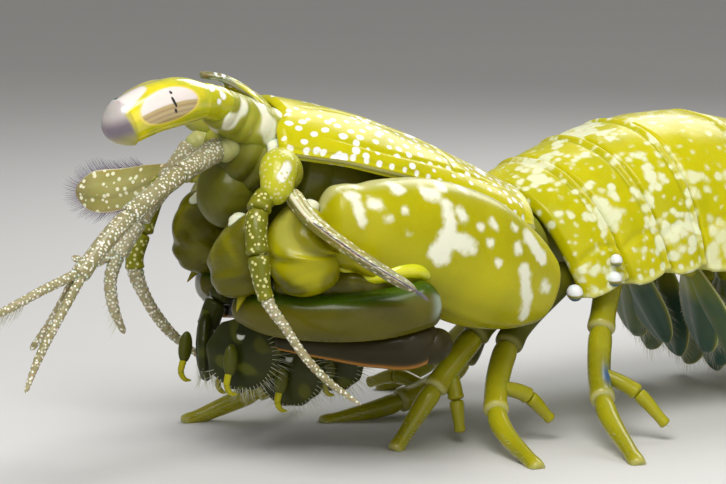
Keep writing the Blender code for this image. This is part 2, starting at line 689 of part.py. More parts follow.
def carapace_point(across, along, depth):
    """Point of the carapace at a share of its half width and length, sunk by depth."""
    rows = [(x, 0.0, z) for x, z in CARAPACE_LINE]
    here = Vector(spline(rows, (along,))[0])
    before, after = spline(rows, (along - 0.02, along + 0.02))
    direction = Vector(after - before).normalized()
    here -= direction * corner_reach(abs(across), along)
    up = Vector((-direction.z, 0.0, direction.x))
    angle = across * CARAPACE_ARC
    half_width = profile(CARAPACE_WIDTH, along)
    drop = profile(CARAPACE_DROP, along)
    y = half_width * math.sin(angle) / math.sin(CARAPACE_ARC)
    fall = drop * (1.0 - math.cos(angle)) / (1.0 - math.cos(CARAPACE_ARC))
    inward = Vector((0.0, -math.sin(angle), 0.0)) * depth - up * (math.cos(angle) * depth)
    return here + Vector((0.0, y, 0.0)) - up * fall + inward


def make_carapace():
    """The shield over the head and front thorax, a plate of even thickness."""
    shares = np.linspace(-1.0, 1.0, 13)
    lengths = np.linspace(0.0, 1.0, 8)
    grids = []
    for depth in (0.0, CARAPACE_THICK):
        grids.append([[carapace_point(u, v, depth) for u in shares] for v in lengths])
    add_part(to_object("carapace", shell(*grids)), "shell")


def make_rostral_plate():
    """The small hinged plate over the eyestalks, ending in a slender spine."""
    hinge = CARAPACE_LINE[0][1]
    rear = Vector((-GAP, 0.0, hinge))
    tip = Vector((-ROSTRUM_LENGTH, 0.0, hinge + ROSTRUM_RISE))
    grids = ([], [])
    for along, wide in ROSTRUM_OUTLINE:
        centre = rear.lerp(tip, along)
        centre.z += ROSTRUM_CROWN * math.sin(math.pi * along)
        half = ROSTRUM_HALF_WIDTH * wide
        thick = ROSTRUM_THICK * (1.0 - 0.35 * along)
        for grid, sink in zip(grids, (0.0, thick)):
            row = []
            for share in np.linspace(-1.0, 1.0, 5):
                fall = ROSTRUM_ARCH * wide * share * share
                row.append(centre + Vector((0.0, half * share, -fall - sink)))
            grid.append(row)
    add_part(to_object("rostral_plate", shell(*grids)), "rostral")


def make_trunk():
    """The head block, the body under the carapace and the mouthparts."""
    core = sweep(CORE, 9, 16, power=2.5)
    add_part(to_object("thorax_front", core), "membrane")
    head = sweep(HEAD, 5, 14, ends=(0.0, 0.7), power=2.5)
    add_part(to_object("head", head), "membrane")
    mouth = sweep(MOUTH, 6, 12, ends=(0.8, 0.8), power=2.3, up=(1.0, 0.0, 0.0))
    add_part(to_object("mouthparts", mouth), "mouth")


def make_eyes(side):
    """One stalk and the long bean-shaped eye on its end."""
    stalk = sweep(EYESTALK[side], 4, 12)
    add_part(to_object(side_name("eyestalk", side), stalk), "stalk")
    eye = sweep(EYE[side], 9, 14, ends=(0.0, EYE_END))
    add_part(to_object(side_name("eye", side), eye), "cornea")


def make_antennule(side):
    """The long jointed peduncle and its three whips."""
    bodies = [sweep(ANTENNULE[side], 8, 8, ends=(0.0, 0.3))]
    for whip in ANTENNULE_FLAGELLA[side]:
        bodies.append(sweep(whip, 6, 5, ends=(0.0, 0.2)))
    add_part(union(side_name("antennule", side), bodies), "feeler")


def make_antenna(side):
    """The stout antenna base with its peduncle and whip, and the blade beside it."""
    bodies = [sweep(ANTENNA_BASE[side], 5, 8, ends=(0.0, 0.5)),
              sweep(ANTENNA_WHIP[side], 13, 6, ends=(0.0, 0.2), up=(0.0, 1.0, 0.0))]
    add_part(union(side_name("antenna", side), bodies), "feeler")
    blade = sweep(SCALE_BLADE[side], 8, 10, ends=(0.0, 0.9), up=SCALE_UP[side])
    add_part(to_object(side_name("antennal_scale", side), blade), "feeler")


def make_claw(side):
    """The raptorial claw, folded: ischium, merus, carpus, propodus and dactyl."""
    for name, rows, stations, sides, ends, power, kind in CLAW_PIECES:
        placed = moved(mirrored(rows, side), CLAW_SHIFT[side])
        bodies = [sweep(placed, stations, sides, ends=ends, power=power)]
        if name == "raptorial_carpus":
            for tooth in CARPUS_TEETH:
                root, tip = moved(mirrored(tooth, side), CLAW_SHIFT[side])
                bodies.append(cone(tip, root, CARPUS_TOOTH_RADIUS, 6))
        add_part(union(side_name(name, side), bodies), kind)


def make_maxilliped(name, side):
    """A slim stem that ends in a round disc with a small hooked claw."""
    hip, bend, disc, radius = MAXILLIPEDS[name]
    hip, bend, disc = (Vector((p[0], p[1] * side, p[2])) for p in (hip, bend, disc))
    path = (hip, bend, disc + Vector((0.0, 0.0, radius * 0.4)))
    stem = sweep([(*point, thick) for point, thick in zip(path, STEM_RADIUS)], 5, 7)
    facing = Vector((DISC_FACING[0], DISC_FACING[1] * side, 0.0)).normalized() * (DISC_THICK * 0.5)
    rows = [(*(disc - facing), radius), (*disc, radius * 1.05), (*(disc + facing), radius * 0.9)]
    plate = sweep(rows, 4, 12, ends=(0.35, 0.35))
    root_fall, tip_fall = HOOK_HEIGHTS
    hook = cone(disc + Vector((-HOOK_REACH, 0.0, -radius * tip_fall)),
                disc + Vector((HOOK_REACH / 3.0, 0.0, -radius * root_fall)), HOOK_RADIUS)
    add_part(union(side_name(name, side), [plate, stem, hook]), "mouth")


def make_leg(name, side):
    """A walking leg with its slender side branch."""
    hip, upper, lower, foot, stick = (Vector(point) for point in LEGS[(name, side)])
    sunk_foot = foot - Vector((0.0, 0.0, FOOT_SINK))
    rows = [(*point, radius) for point, radius in zip((hip, upper, lower, sunk_foot), LEG_RADIUS)]
    limb = sweep(rows, 10, 8, ends=(0.0, 0.3), up=(0.4, 0.1, 1.0))
    root = upper.lerp(lower, STICK_ROOT)
    bend = root.lerp(stick, 0.45) + Vector((0.0, 0.0, STICK_RISE))
    path = [(*point, radius) for point, radius in zip((root, bend, stick), STICK_RADIUS)]
    branch = sweep(path, 5, 6, ends=(0.0, 0.5), up=(0.3, 0.2, 1.0))
    add_part(union(side_name(name, side), [limb, branch]), "leg")


def make_pleopods(side):
    """Five swimmerets on each side: a stem and two leaf-shaped blades."""
    swimming = [span for span in somite_spans() if span[0] in PLEOPOD_SOMITES]
    length, wide, thick = PLEOPOD_BLADE
    for number, (_, start, end, _, depth) in enumerate(swimming, start=1):
        point, along, up = back_frame(start + (end - start) * PLEOPOD_ROOT)
        root = point - up * (depth * BELLY_SHARE + GAP) + Vector((0.0, PLEOPOD_SPREAD * side, 0.0))
        reach = min(length, (root.z - PLEOPOD_CLEARANCE) / math.cos(PLEOPOD_SWEEP))
        back = along * math.sin(PLEOPOD_SWEEP) - up * math.cos(PLEOPOD_SWEEP)
        knee = root + back * (reach * PLEOPOD_KNEE)
        path = (root, root.lerp(knee, 0.5), knee)
        stem = [(*place, radius) for place, radius in zip(path, PLEOPOD_STEM)]
        bodies = [sweep(stem, 3, 6, up=(1.0, 0.0, 0.0))]
        for lean in PLEOPOD_LEANS:
            tip = knee + back * (reach * 0.8) + Vector((0.25, lean * reach, 0.0))
            tip.z = max(tip.z, PLEOPOD_CLEARANCE * 0.5)
            blade = [(*root.lerp(knee, 0.6), thick, wide * 0.4), (*knee.lerp(tip, 0.35), thick, wide),
                     (*knee.lerp(tip, 0.8), thick, wide * 0.8), (*tip, thick, wide * 0.35)]
            bodies.append(sweep(blade, 5, 6, ends=(0.0, 0.4), up=(0.0, 1.0, 0.15)))
        add_part(union(side_name(f"pleopod_{number}", side), bodies), "swimmeret")


def telson_frame():
    """Root point, direction and upward normal of the telson."""
    point, _, _ = back_frame(curve_length(back_rows()))
    direction = Vector((math.cos(TELSON_DROP), 0.0, -math.sin(TELSON_DROP)))
    return point - Vector((0.0, 0.0, 0.2)), direction, Vector((-direction.z, 0.0, direction.x))


def telson_place(along, across, sink):
    """Point at a distance along the telson and across it, sunk below its back."""
    root, direction, up = telson_frame()
    return root + direction * along + Vector((0.0, across, 0.0)) - up * sink


def telson_ridge(y, first, last, height, half):
    """One rounded ridge along the telson's back."""
    rows = []
    for step, swell in RIDGE_SWELL:
        share = first + (last - first) * step
        sink = RIDGE_SINK + RIDGE_FALL * y * y
        seat = telson_place(TELSON_LENGTH * share, y * (1.0 - RIDGE_TAPER * share), sink)
        rows.append((*seat, half * swell, height * swell))
    return sweep(rows, 5, 6, ends=(0.5, 0.5))


def make_telson():
    """The tail shield with its rounded ridges and marginal teeth."""
    _, _, up = telson_frame()
    side = Vector((0.0, 1.0, 0.0))
    rings = []
    for share, wide, thick in TELSON_OUTLINE:
        centre = telson_place(TELSON_LENGTH * share, 0.0, thick * 0.5 + 0.1)
        rings.append(oval(centre, side, up, TELSON_HALF_WIDTH * wide, thick * 0.5, 16, 2.2))
    bodies = [loft(rings)]
    for y, first, last, height, half in TELSON_RIDGES:
        for turn in (LEFT, RIGHT) if y else (RIGHT,):
            bodies.append(telson_ridge(y * turn, first, last, height, half))
    for y, start, length in TELSON_TEETH:
        for turn in (LEFT, RIGHT):
            root = telson_place(start, y * turn * 0.94, 0.8)
            tip = telson_place(start + length, y * turn * 1.04, 0.9)
            bodies.append(cone(tip, root, TELSON_TOOTH_RADIUS, 6))
    add_part(union("telson", bodies, "MANIFOLD"), "shell")


def make_uropod(side):
    """The side fan of the tail: base with its spines, outer blade and inner blade."""
    parts = {key: [(row[0], row[1] * side, *row[2:]) for row in rows] for key, rows in UROPOD.items()}
    bodies = [sweep(parts["base"], 4, 8, ends=(0.0, 0.4)),
              sweep(parts["outer"], 7, 8, ends=(0.0, 0.8), up=(0.0, 1.0, 0.0)),
              sweep(parts["inner"], 6, 8, ends=(0.0, 0.8), up=(0.0, 1.0, 0.0))]
    aim = Vector((UROPOD_SPINE_AIM[0], UROPOD_SPINE_AIM[1] * side, UROPOD_SPINE_AIM[2]))
    places = np.linspace(*UROPOD_SPINE_SPAN, UROPOD_SPINES)
    lengths = np.linspace(*UROPOD_SPINE_LENGTH, UROPOD_SPINES)
    for sample, length in zip(spline(parts["outer"], places), lengths):
        edge = Vector(sample[:3]) + Vector((0.25, side * sample[4] * 0.7, 0.0))
        bodies.append(cone(edge + aim * length, edge, UROPOD_SPINE_RADIUS, 5))
    for reach, inwards in BASE_SPINES:
        root = Vector(parts["base"][-1][:3]) + Vector((-0.4, -side * inwards, -0.2))
        tip = root + Vector((reach, side * 0.1, -0.55))
        bodies.append(cone(tip, root, BASE_SPINE_RADIUS, 6))
    add_part(union(side_name("uropod", side), bodies), "swimmeret")


def build():
    """Build the animal, the main body first, so that smaller parts give way to it."""
    clear_scene()
    make_trunk()
    make_somites()
    make_carapace()
    make_rostral_plate()
    make_telson()
    for side in (LEFT, RIGHT):
        make_eyes(side)
        make_claw(side)
        for name in MAXILLIPEDS:
            make_maxilliped(name, side)
        for number in (1, 2, 3):
            make_leg(f"walking_leg_{number}", side)
        make_antennule(side)
        make_antenna(side)
        make_pleopods(side)
        make_uropod(side)
    set_gaps(PARTS)
    for item, kind in PARTS:
        finish_part(item, kind)


build()
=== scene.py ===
"""Mantis shrimp, life size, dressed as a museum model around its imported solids.

Sizes are in millimetres in the part's working frame: the animal faces -X with its left
side towards -Y, X and Y are 0 at the middle of the carapace's front edge, and Z is 0 on
the floor. A mould turns each finished shape into metres in the shared frame.
"""
import logging
import math
import random
from dataclasses import dataclass, field
from enum import Enum
from typing import Callable

import bmesh
import bpy
import numpy as np
from mathutils import Matrix, Vector


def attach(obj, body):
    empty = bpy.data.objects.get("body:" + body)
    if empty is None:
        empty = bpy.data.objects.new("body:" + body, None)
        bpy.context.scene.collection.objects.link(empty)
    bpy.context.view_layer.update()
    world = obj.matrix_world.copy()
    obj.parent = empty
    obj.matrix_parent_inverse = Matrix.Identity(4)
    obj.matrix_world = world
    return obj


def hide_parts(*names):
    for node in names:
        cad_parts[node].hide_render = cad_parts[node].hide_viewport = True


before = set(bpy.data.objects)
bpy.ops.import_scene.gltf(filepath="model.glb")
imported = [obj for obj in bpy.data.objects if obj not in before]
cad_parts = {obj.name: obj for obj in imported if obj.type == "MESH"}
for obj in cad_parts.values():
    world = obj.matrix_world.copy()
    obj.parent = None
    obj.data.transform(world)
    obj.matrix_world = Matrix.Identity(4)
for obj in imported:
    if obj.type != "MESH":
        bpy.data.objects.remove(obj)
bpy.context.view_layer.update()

LOG = logging.getLogger("mantis_shrimp")
MM = 0.001
# Depth of a moulded mark where there is none.
UNMARKED = -1.0
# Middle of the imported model's box, in the working frame.
ORIGIN = np.array([22.35, -2.0, 0.0])

Rows = tuple[tuple[float, ...], ...]
Colour = tuple[float, float, float]
Relief = Callable[[np.ndarray, np.ndarray], np.ndarray]
WHITE: Colour = (0.86, 0.88, 0.88)


class Side(Enum):
    """Side of the animal that a piece belongs to; the value is the sign of its Y."""

    LEFT = -1
    RIGHT = 1

    def name_of(self, stem: str) -> str:
        """Node name of a paired piece."""
        return f"{stem}_{self.name.lower()}"

    @property
    def flip(self) -> np.ndarray:
        """Factors that turn a point of a left piece over to this side."""
        return np.array((1.0, -float(self.value), 1.0))


class Cap(Enum):
    """How the two ends of a run of rings are closed."""

    FAN = "fan"
    STRIP = "strip"


class Pattern(Enum):
    """Marking that a finish paints beside the marks moulded into a piece."""

    PLAIN = "plain"
    BLOTCHES = "blotches"
    DOTS = "dots"


def cubic(knots: np.ndarray, values: np.ndarray, targets: np.ndarray) -> np.ndarray:
    """Smooth curve through values at knots.

    Args:
        knots: Growing places of the values.
        values: One row of numbers for each knot.
        targets: Places to read.

    Returns:
        One row of numbers for each target.
    """
    slopes = np.gradient(values, knots, axis=0)
    targets = np.clip(targets, knots[0], knots[-1])
    index = np.clip(np.searchsorted(knots, targets, side="right") - 1, 0, len(knots) - 2)
    span = (knots[index + 1] - knots[index])[:, None]
    t = ((targets - knots[index]))[:, None] / span
    start, end = values[index], values[index + 1]
    return ((2 * t**3 - 3 * t**2 + 1) * start + (t**3 - 2 * t**2 + t) * slopes[index] * span
            + (3 * t**2 - 2 * t**3) * end + (t**3 - t**2) * slopes[index + 1] * span)


def spline(rows: Rows, fractions: np.ndarray) -> np.ndarray:
    """Rows of numbers read along the smooth curve through their x, y, z.

    Args:
        rows: The curve's rows, x, y, z first.
        fractions: Shares of the curve's chord length.

    Returns:
        One row for each fraction.
    """
    points = np.array(rows, dtype=float)
    chords = np.linalg.norm(np.diff(points[:, :3], axis=0), axis=1)
    knots = np.concatenate(([0.0], np.cumsum(chords)))
    return cubic(knots, points, np.asarray(fractions) * knots[-1])


def table(rows: Rows, places: np.ndarray, column: int = 1) -> np.ndarray:
    """One column of a table, read smoothly at places along its first column."""
    values = np.array(rows, dtype=float)
    places = np.asarray(places, dtype=float)
    read = cubic(values[:, 0], values[:, column:column + 1], places.ravel())
    return read[:, 0].reshape(places.shape)


def heading(rows: Rows, fractions: np.ndarray, step: float = 0.01) -> np.ndarray:
    """Unit directions of the curve through rows.

    Args:
        rows: The curve's rows, x, y, z first.
        fractions: Shares of the curve's chord length.
        step: Share ahead and behind over which a direction is read.

    Returns:
        One direction for each fraction.
    """
    ahead = spline(rows, np.minimum(fractions + step, 1.0))[:, :3]
    return unit(ahead - spline(rows, np.maximum(fractions - step, 0.0))[:, :3])


def squared(angle: np.ndarray, power: float) -> tuple[np.ndarray, ...]:
    """Across and up shares of a section round which an angle turns; a power of 2 is a circle."""
    return tuple(np.sign(wave) * np.abs(wave) ** (2.0 / power) for wave in (np.cos(angle), np.sin(angle)))


def run_across(points: np.ndarray) -> np.ndarray:
    """Distance along each row of a grid of points."""
    steps = np.linalg.norm(np.diff(points, axis=1), axis=-1)
    return np.concatenate((np.zeros((len(points), 1)), np.cumsum(steps, axis=1)), axis=1)


def smooth(low: float, high: float, value: np.ndarray) -> np.ndarray:
    """Smooth step from 0 at low to 1 at high."""
    t = np.clip((value - low) / (high - low), 0.0, 1.0)
    return t * t * (3.0 - 2.0 * t)


def hump(value: np.ndarray, centre: float, width: float) -> np.ndarray:
    """Bell curve of height 1 around a centre."""
    return np.exp(-((value - centre) / width) ** 2)


def ripple(points: np.ndarray, length: float, seed: int) -> np.ndarray:
    """Slow random waves over points, from about -1 to 1.

    Args:
        points: Points with x, y, z last.
        length: Length of a wave in millimetres.
        seed: Seed of the waves' directions.

    Returns:
        One number for each point.
    """
    draw = np.random.default_rng(seed)
    total = np.zeros(points.shape[:-1])
    for _ in range(7):
        way = draw.normal(size=3)
        way *= 2.0 * math.pi / (length * np.linalg.norm(way)) * draw.uniform(0.7, 1.4)
        total += np.sin(points @ way + draw.uniform(0.0, 2.0 * math.pi))
    return total / 3.0


def unit(vectors: np.ndarray) -> np.ndarray:
    """Vectors brought to length 1."""
    return vectors / np.maximum(np.linalg.norm(vectors, axis=-1, keepdims=True), 1e-9)


def grid_normals(points: np.ndarray, closed: bool) -> np.ndarray:
    """Unit normals of a grid of points, by differences between its neighbours.

    Args:
        points: Grid of points.
        closed: Whether each row of the grid runs round.

    Returns:
        One normal for each point.
    """
    along = np.gradient(points, axis=0)
    if closed:
        across = (np.roll(points, -1, axis=1) - np.roll(points, 1, axis=1)) / 2.0
    else:
        across = np.gradient(points, axis=1)
    return unit(np.cross(across, along))


def blobs(points: np.ndarray, spots: Rows) -> np.ndarray:
    """Depth inside the nearest of some round spots, in millimetres.

    Args:
        points: Points with x, y, z last.
        spots: Rows of x, y, z, radius.

    Returns:
        Positive numbers inside a spot and negative ones outside.
    """
    depth = np.full(points.shape[:-1], -1.0)
    for x, y, z, radius in spots:
        depth = np.maximum(depth, radius - np.linalg.norm(points - (x, y, z), axis=-1))
    return depth


@dataclass
class Surface:
    """A run of closed rings of points, with a flat map and moulded masks.

    Attributes:
        points: Grid of points, ring by ring.
        flat: Place of each point on a flat map, in millimetres.
        cap: How the ends are closed.
        masks: Numbers for each point, by name.
    """

    points: np.ndarray
    flat: np.ndarray
    cap: Cap = Cap.FAN
    masks: dict[str, np.ndarray] = field(default_factory=dict)

    def wash(self, name: str, value: float) -> "Surface":
        """Fill a mask with one value."""
        self.masks[name] = np.full(self.points.shape[:2], value)
        return self


@dataclass
class Limb:
    """A round piece swept along rows of x, y, z, half width and half height.

    Attributes:
        rows: The route with its sizes; a row of four has one radius.
        stations: Rings along the piece.
        sides: Points round each ring.
        ends: Length over which each end is rounded off.
        power: Squareness of the section; 2 is an ellipse.
        up: Direction that the half height follows.
        relief: Height added outwards, from the length along and the angle round.
    """

    rows: Rows
    stations: int = 48
    sides: int = 32
    ends: tuple[float, float] = (0.3, 0.3)
    power: float = 2.0
    up: tuple[float, float, float] = (0.0, 0.0, 1.0)
    relief: Relief | None = None

    def section(self) -> tuple[np.ndarray, ...]:
        """Centre line, side and lift directions, sizes and length along, one for each ring."""
        rows = tuple(tuple(row) + (row[3],) if len(row) == 4 else tuple(row) for row in self.rows)
        steps = np.linspace(0.0, 1.0, self.stations)
        fractions = 0.4 * steps + 0.6 * (1.0 - np.cos(np.pi * steps)) / 2.0
        samples = spline(rows, fractions)
        centre = samples[:, :3]
        tangent = heading(rows, fractions)
        side = unit(np.cross(np.array(self.up), tangent))
        lift = np.cross(tangent, side)
        pace = np.concatenate(([0.0], np.cumsum(np.linalg.norm(np.diff(centre, axis=0), axis=1))))
        return centre, side, lift, samples[:, 3], samples[:, 4], pace, tangent

    def surface(self) -> Surface:
        """The limb as closed rings, with its length and angle as masks."""
        centre, side, lift, wide, high, pace, _ = self.section()
        shrink = np.ones(self.stations)
        for reach, distance in zip(self.ends, (pace, pace[-1] - pace)):
            if reach > 0.0:
                rest = np.clip(1.0 - distance / reach, 0.0, 1.0)
                shrink = np.minimum(shrink, np.sqrt(np.maximum(1.0 - rest**2, 0.0)))
        shrink = np.maximum(shrink, 0.03)
        angle = 2.0 * np.pi * np.arange(self.sides) / self.sides
        across, rise = squared(angle, self.power)
        along, around = np.meshgrid(pace, angle, indexing="ij")
        swell = self.relief(along, around) if self.relief else np.zeros_like(along)
        width = (wide[:, None] + swell) * shrink[:, None]
        height = (high[:, None] + swell) * shrink[:, None]
        points = (centre[:, None] + side[:, None] * (width * across)[..., None]
                  + lift[:, None] * (height * rise)[..., None])
        girth = np.pi * (wide + high).max() / 2.0
        flat = np.stack((around / np.pi * girth, along), axis=-1)
        return Surface(points, flat, Cap.FAN, {"along": along, "around": around})

    def rim(self, first: float, count: int, lean: float = 0.9) -> tuple[np.ndarray, np.ndarray]:
        """Edge line of a flat blade, up one side, round the tip and down the other.

        Args:
            first: Share of the length where the fringe starts.
            count: Points along each side.
            lean: How far the hairs lean towards the tip.

        Returns:
            Points of the line and the direction of the hair at each.
        """
        centre, side, lift, wide, high, pace, tangent = self.section()
        share = pace / pace[-1]
        keep = np.linspace(first, 0.985, count)
        tall = high >= wide
        reach = np.where(tall, high, wide)
        way = np.where(tall[:, None], lift, side)
        taper = np.sqrt(np.clip(1.0 - np.clip(1.0 - (1.0 - share) * 4.0, 0.0, 1.0) ** 2, 0.05, 1.0))
        edges = []
        leans = []
        for turn in (1.0, -1.0):
            line = centre + way * (turn * reach * taper * 0.9)[:, None]
            out = unit(way * (turn * taper)[:, None] + tangent * (lean + 1.2 * (1.0 - taper))[:, None])
            places = np.stack([np.interp(keep, share, line[:, k]) for k in range(3)], axis=-1)
            outs = np.stack([np.interp(keep, share, out[:, k]) for k in range(3)], axis=-1)
            edges.append(places if turn > 0 else places[::-1])
            leans.append(outs if turn > 0 else outs[::-1])
        return np.concatenate(edges), unit(np.concatenate(leans))


def plate(outer: np.ndarray, flat: np.ndarray, thick: float, rim: float,
          masks: dict[str, np.ndarray] | None = None) -> Surface:
    """Closed plate under a grid of points, with its border rounded off.

    Args:
        outer: Grid of the plate's outer face.
        flat: Flat map of the grid, in millimetres.
        thick: Full thickness.
        rim: Width of the rounded border.
        masks: Moulded masks of the outer face, repeated on the inner one.

    Returns:
        Rings that run over the outer face and back along the inner one.
    """
    normals = grid_normals(outer, closed=False)
    if (normals * (outer - outer.mean(axis=(0, 1)))).sum() < 0.0:
        normals = -normals
    rows = np.linalg.norm(np.diff(outer, axis=0), axis=-1).mean(axis=1)
    down = np.concatenate(([0.0], np.cumsum(rows)))
    over = run_across(outer)
    edge = np.minimum(np.minimum(down, down[-1] - down)[:, None], np.minimum(over, over[:, -1:] - over))
    full = thick * np.sqrt(1.0 - (1.0 - np.clip(edge / rim, 0.0, 1.0)) ** 2 * 0.96)
    top = outer - normals * ((thick - full) / 2.0)[..., None]
    bottom = outer - normals * ((thick + full) / 2.0)[..., None]
    points = np.concatenate((top, bottom[:, ::-1]), axis=1)
    both = np.concatenate((flat, flat[:, ::-1]), axis=1)
    doubled = {name: np.concatenate((mask, mask[:, ::-1]), axis=1)
               for name, mask in (masks or {}).items()}
    return Surface(points, both, Cap.STRIP, doubled)


def lay_values(mesh: bpy.types.Mesh, name: str, values: np.ndarray, vector: bool = False) -> None:
    """Store a number or a vector for each vertex of a mesh.

    Args:
        mesh: The mesh.
        name: Name of the attribute.
        values: One number or one vector for each vertex.
        vector: Whether they are vectors.
    """
    mesh.attributes.new(name, "FLOAT_VECTOR" if vector else "FLOAT", "POINT")
    mesh.attributes[name].data.foreach_set("vector" if vector else "value",
                                           np.asarray(values, dtype=np.float32).ravel())


class Mould:
    """Collects closed surfaces and casts them as one object in the shared frame."""

    MASKS = ("mark", "tint_a", "tint_b")

    def __init__(self, name: str, *finishes: bpy.types.Material) -> None:
        """Start a piece.

        Args:
            name: The piece's name.
            finishes: Its materials in the order of their slots.
        """
        self.name = name
        self.finishes = finishes
        self.parts: list[tuple[Surface, int]] = []

    def add(self, surface: Surface, slot: int = 0) -> "Mould":
        """Put one closed surface into the piece, in a material slot."""
        self.parts.append((surface, slot))
        return self

    def limbs(self, *limbs: Limb, slot: int = 0) -> "Mould":
        """Put several limbs into the piece."""
        for limb in limbs:
            self.add(limb.surface(), slot)
        return self

    @staticmethod
    def faces(surface: Surface, base: int) -> tuple[list, np.ndarray]:
        """Faces of one surface and the flat map at their corners.

        Args:
            surface: Rings of points.
            base: Number of its first vertex in the whole mesh.

        Returns:
            Faces as lists of vertex numbers, and the map of every corner in turn.
        """
        rings, count = surface.points.shape[:2]
        lower, across = np.meshgrid(np.arange(rings - 1), np.arange(count), indexing="ij")
        lower, across = lower.ravel(), across.ravel()
        ahead = (across + 1) % count
        corners = np.stack(((lower, across), (lower, ahead), (lower + 1, ahead), (lower + 1, across)))
        quads = (base + corners[:, 0] * count + corners[:, 1]).T
        flat = surface.flat[corners[:, 0], corners[:, 1]].transpose(1, 0, 2).copy()
        if surface.cap is Cap.FAN:
            wrapped = ahead == 0
            girth = surface.flat[0, 1, 0] * count
            flat[wrapped, 1, 0] = girth
            flat[wrapped, 2, 0] = girth
        faces = quads.tolist()
        maps = [flat.reshape(-1, 2)]
        for ring, centre in ((0, rings * count), (rings - 1, rings * count + 1)):
            start = base + ring * count
            if surface.cap is Cap.FAN:
                for step in range(count):
                    faces.append([start + step, start + (step + 1) % count, base + centre])
                    here = surface.flat[ring, step]
                    maps.append(np.array((here, here, here)))
            else:
                for step in range(count // 2 - 1):
                    ahead_step, far, near = step + 1, count - 2 - step, count - 1 - step
                    faces.append([start + step, start + ahead_step, start + far, start + near])
                    maps.append(surface.flat[ring, [step, ahead_step, far, near]])
        return faces, np.concatenate(maps)

    def cast(self) -> bpy.types.Object:
        """The finished piece, closed, facing out and in metres."""
        points: list[np.ndarray] = []
        faces: list[list[int]] = []
        maps: list[np.ndarray] = []
        slots: list[int] = []
        masks: dict[str, list[np.ndarray]] = {name: [] for name in self.MASKS}
        base = 0
        for surface, slot in self.parts:
            part_faces, part_map = self.faces(surface, base)
            places = surface.points.reshape(-1, 3)
            fan = surface.cap is Cap.FAN
            if fan:
                places = np.concatenate((places, surface.points[[0, -1]].mean(axis=1)))
            for name in self.MASKS:
                default = UNMARKED if name == "mark" else 0.0
                mask = surface.masks.get(name, np.full(surface.points.shape[:2], default))
                flat_mask = mask.ravel()
                if fan:
                    flat_mask = np.concatenate((flat_mask, mask[[0, -1]].mean(axis=1)))
                masks[name].append(flat_mask)
            points.append(places)
            faces.extend(part_faces)
            maps.append(part_map)
            slots.extend([slot] * len(part_faces))
            base += len(places)
        mesh = bpy.data.meshes.new(self.name)
        cast = np.concatenate(points)
        cast[:, 2] = np.maximum(cast[:, 2], 0.0)
        mesh.from_pydata(((cast - ORIGIN) * MM).tolist(), [], faces)
        mesh.uv_layers.new(name="flat")
        mesh.uv_layers["flat"].data.foreach_set("uv", np.concatenate(maps).ravel().astype(np.float32))
        mesh.polygons.foreach_set("material_index", slots)
        for name, values in masks.items():
            lay_values(mesh, name, np.concatenate(values))
        body = bmesh.new()
        body.from_mesh(mesh)
        bmesh.ops.recalc_face_normals(body, faces=body.faces)
        body.to_mesh(mesh)
        body.free()
        mesh.shade_smooth()
        for finish in self.finishes:
            mesh.materials.append(finish)
        piece = bpy.data.objects.new(self.name, mesh)
        bpy.context.scene.collection.objects.link(piece)
        return piece


def settle(piece: bpy.types.Object, slot: str, *nodes: str) -> bpy.types.Object:
    """Tie a finished piece to the frame and report it.

    Args:
        piece: The finished object.
        slot: Not used.
        nodes: The solids that it stands for.

    Returns:
        The same object.
    """
    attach(piece, "root")
    if nodes:
        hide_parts(*nodes)
    LOG.info("%s: %d faces, stands for %s", piece.name, len(piece.data.polygons),
             ", ".join(nodes) or "nothing")
    return piece


class NodeBench:
    """Short calls that lay out one node tree."""

    def __init__(self, tree: bpy.types.NodeTree) -> None:
        """Work on a tree."""
        self.tree = tree

    def put(self, kind: str, settings: dict | None = None, **inputs: object) -> bpy.types.Node:
        """Add a node.

        Args:
            kind: The node's type.
            settings: Its properties.
            inputs: Values or sockets for its inputs, by name with _ for a space.

        Returns:
            The new node.
        """
        node = self.tree.nodes.new(kind)
        for name, value in (settings or {}).items():
            setattr(node, name, value)
        for name, value in inputs.items():
            self.feed(node.inputs[name.replace("_", " ")], value)
        return node

    def feed(self, socket: bpy.types.NodeSocket, value: object) -> None:
        """Link a socket, or set its value."""
        if isinstance(value, bpy.types.NodeSocket):
            self.tree.links.new(value, socket)
        elif isinstance(value, tuple) and len(value) == 3 and socket.type == "RGBA":
            socket.default_value = (*value, 1.0)
        else:
            socket.default_value = value

    def mix(self, factor: object, first: object, second: object) -> bpy.types.NodeSocket:
        """Colour mixed from two by a factor.

        Args:
            factor: Share of the second colour.
            first: First colour.
            second: Second colour.

        Returns:
            The mixed colour.
        """
        node = self.tree.nodes.new("ShaderNodeMix")
        node.data_type = "RGBA"
        for index, value in ((0, factor), (6, first), (7, second)):
            self.feed(node.inputs[index], value)
        return node.outputs[2]

    def maths(self, operation: str, first: object, second: object = 0.0) -> bpy.types.NodeSocket:
        """Result of a Math node.

        Args:
            operation: What the node does.
            first: First value.
            second: Second value.

        Returns:
            The result.
        """
        node = self.tree.nodes.new("ShaderNodeMath")
        node.operation = operation
        self.feed(node.inputs[0], first)
        self.feed(node.inputs[1], second)
        return node.outputs[0]

    def step(self, value: object, low: object, high: object, to_low: float = 0.0,
             to_high: float = 1.0) -> bpy.types.NodeSocket:
        """Smooth step of a value between two limits.

        Args:
            value: The value.
            low: Lower limit.
            high: Upper limit.
            to_low: Result at the lower limit.
            to_high: Result at the upper limit.

        Returns:
            The result.
        """
        node = self.put("ShaderNodeMapRange", {"interpolation_type": "SMOOTHSTEP"}, Value=value)
        for index, limit in ((1, low), (2, high), (3, to_low), (4, to_high)):
            self.feed(node.inputs[index], limit)
        return node.outputs[0]


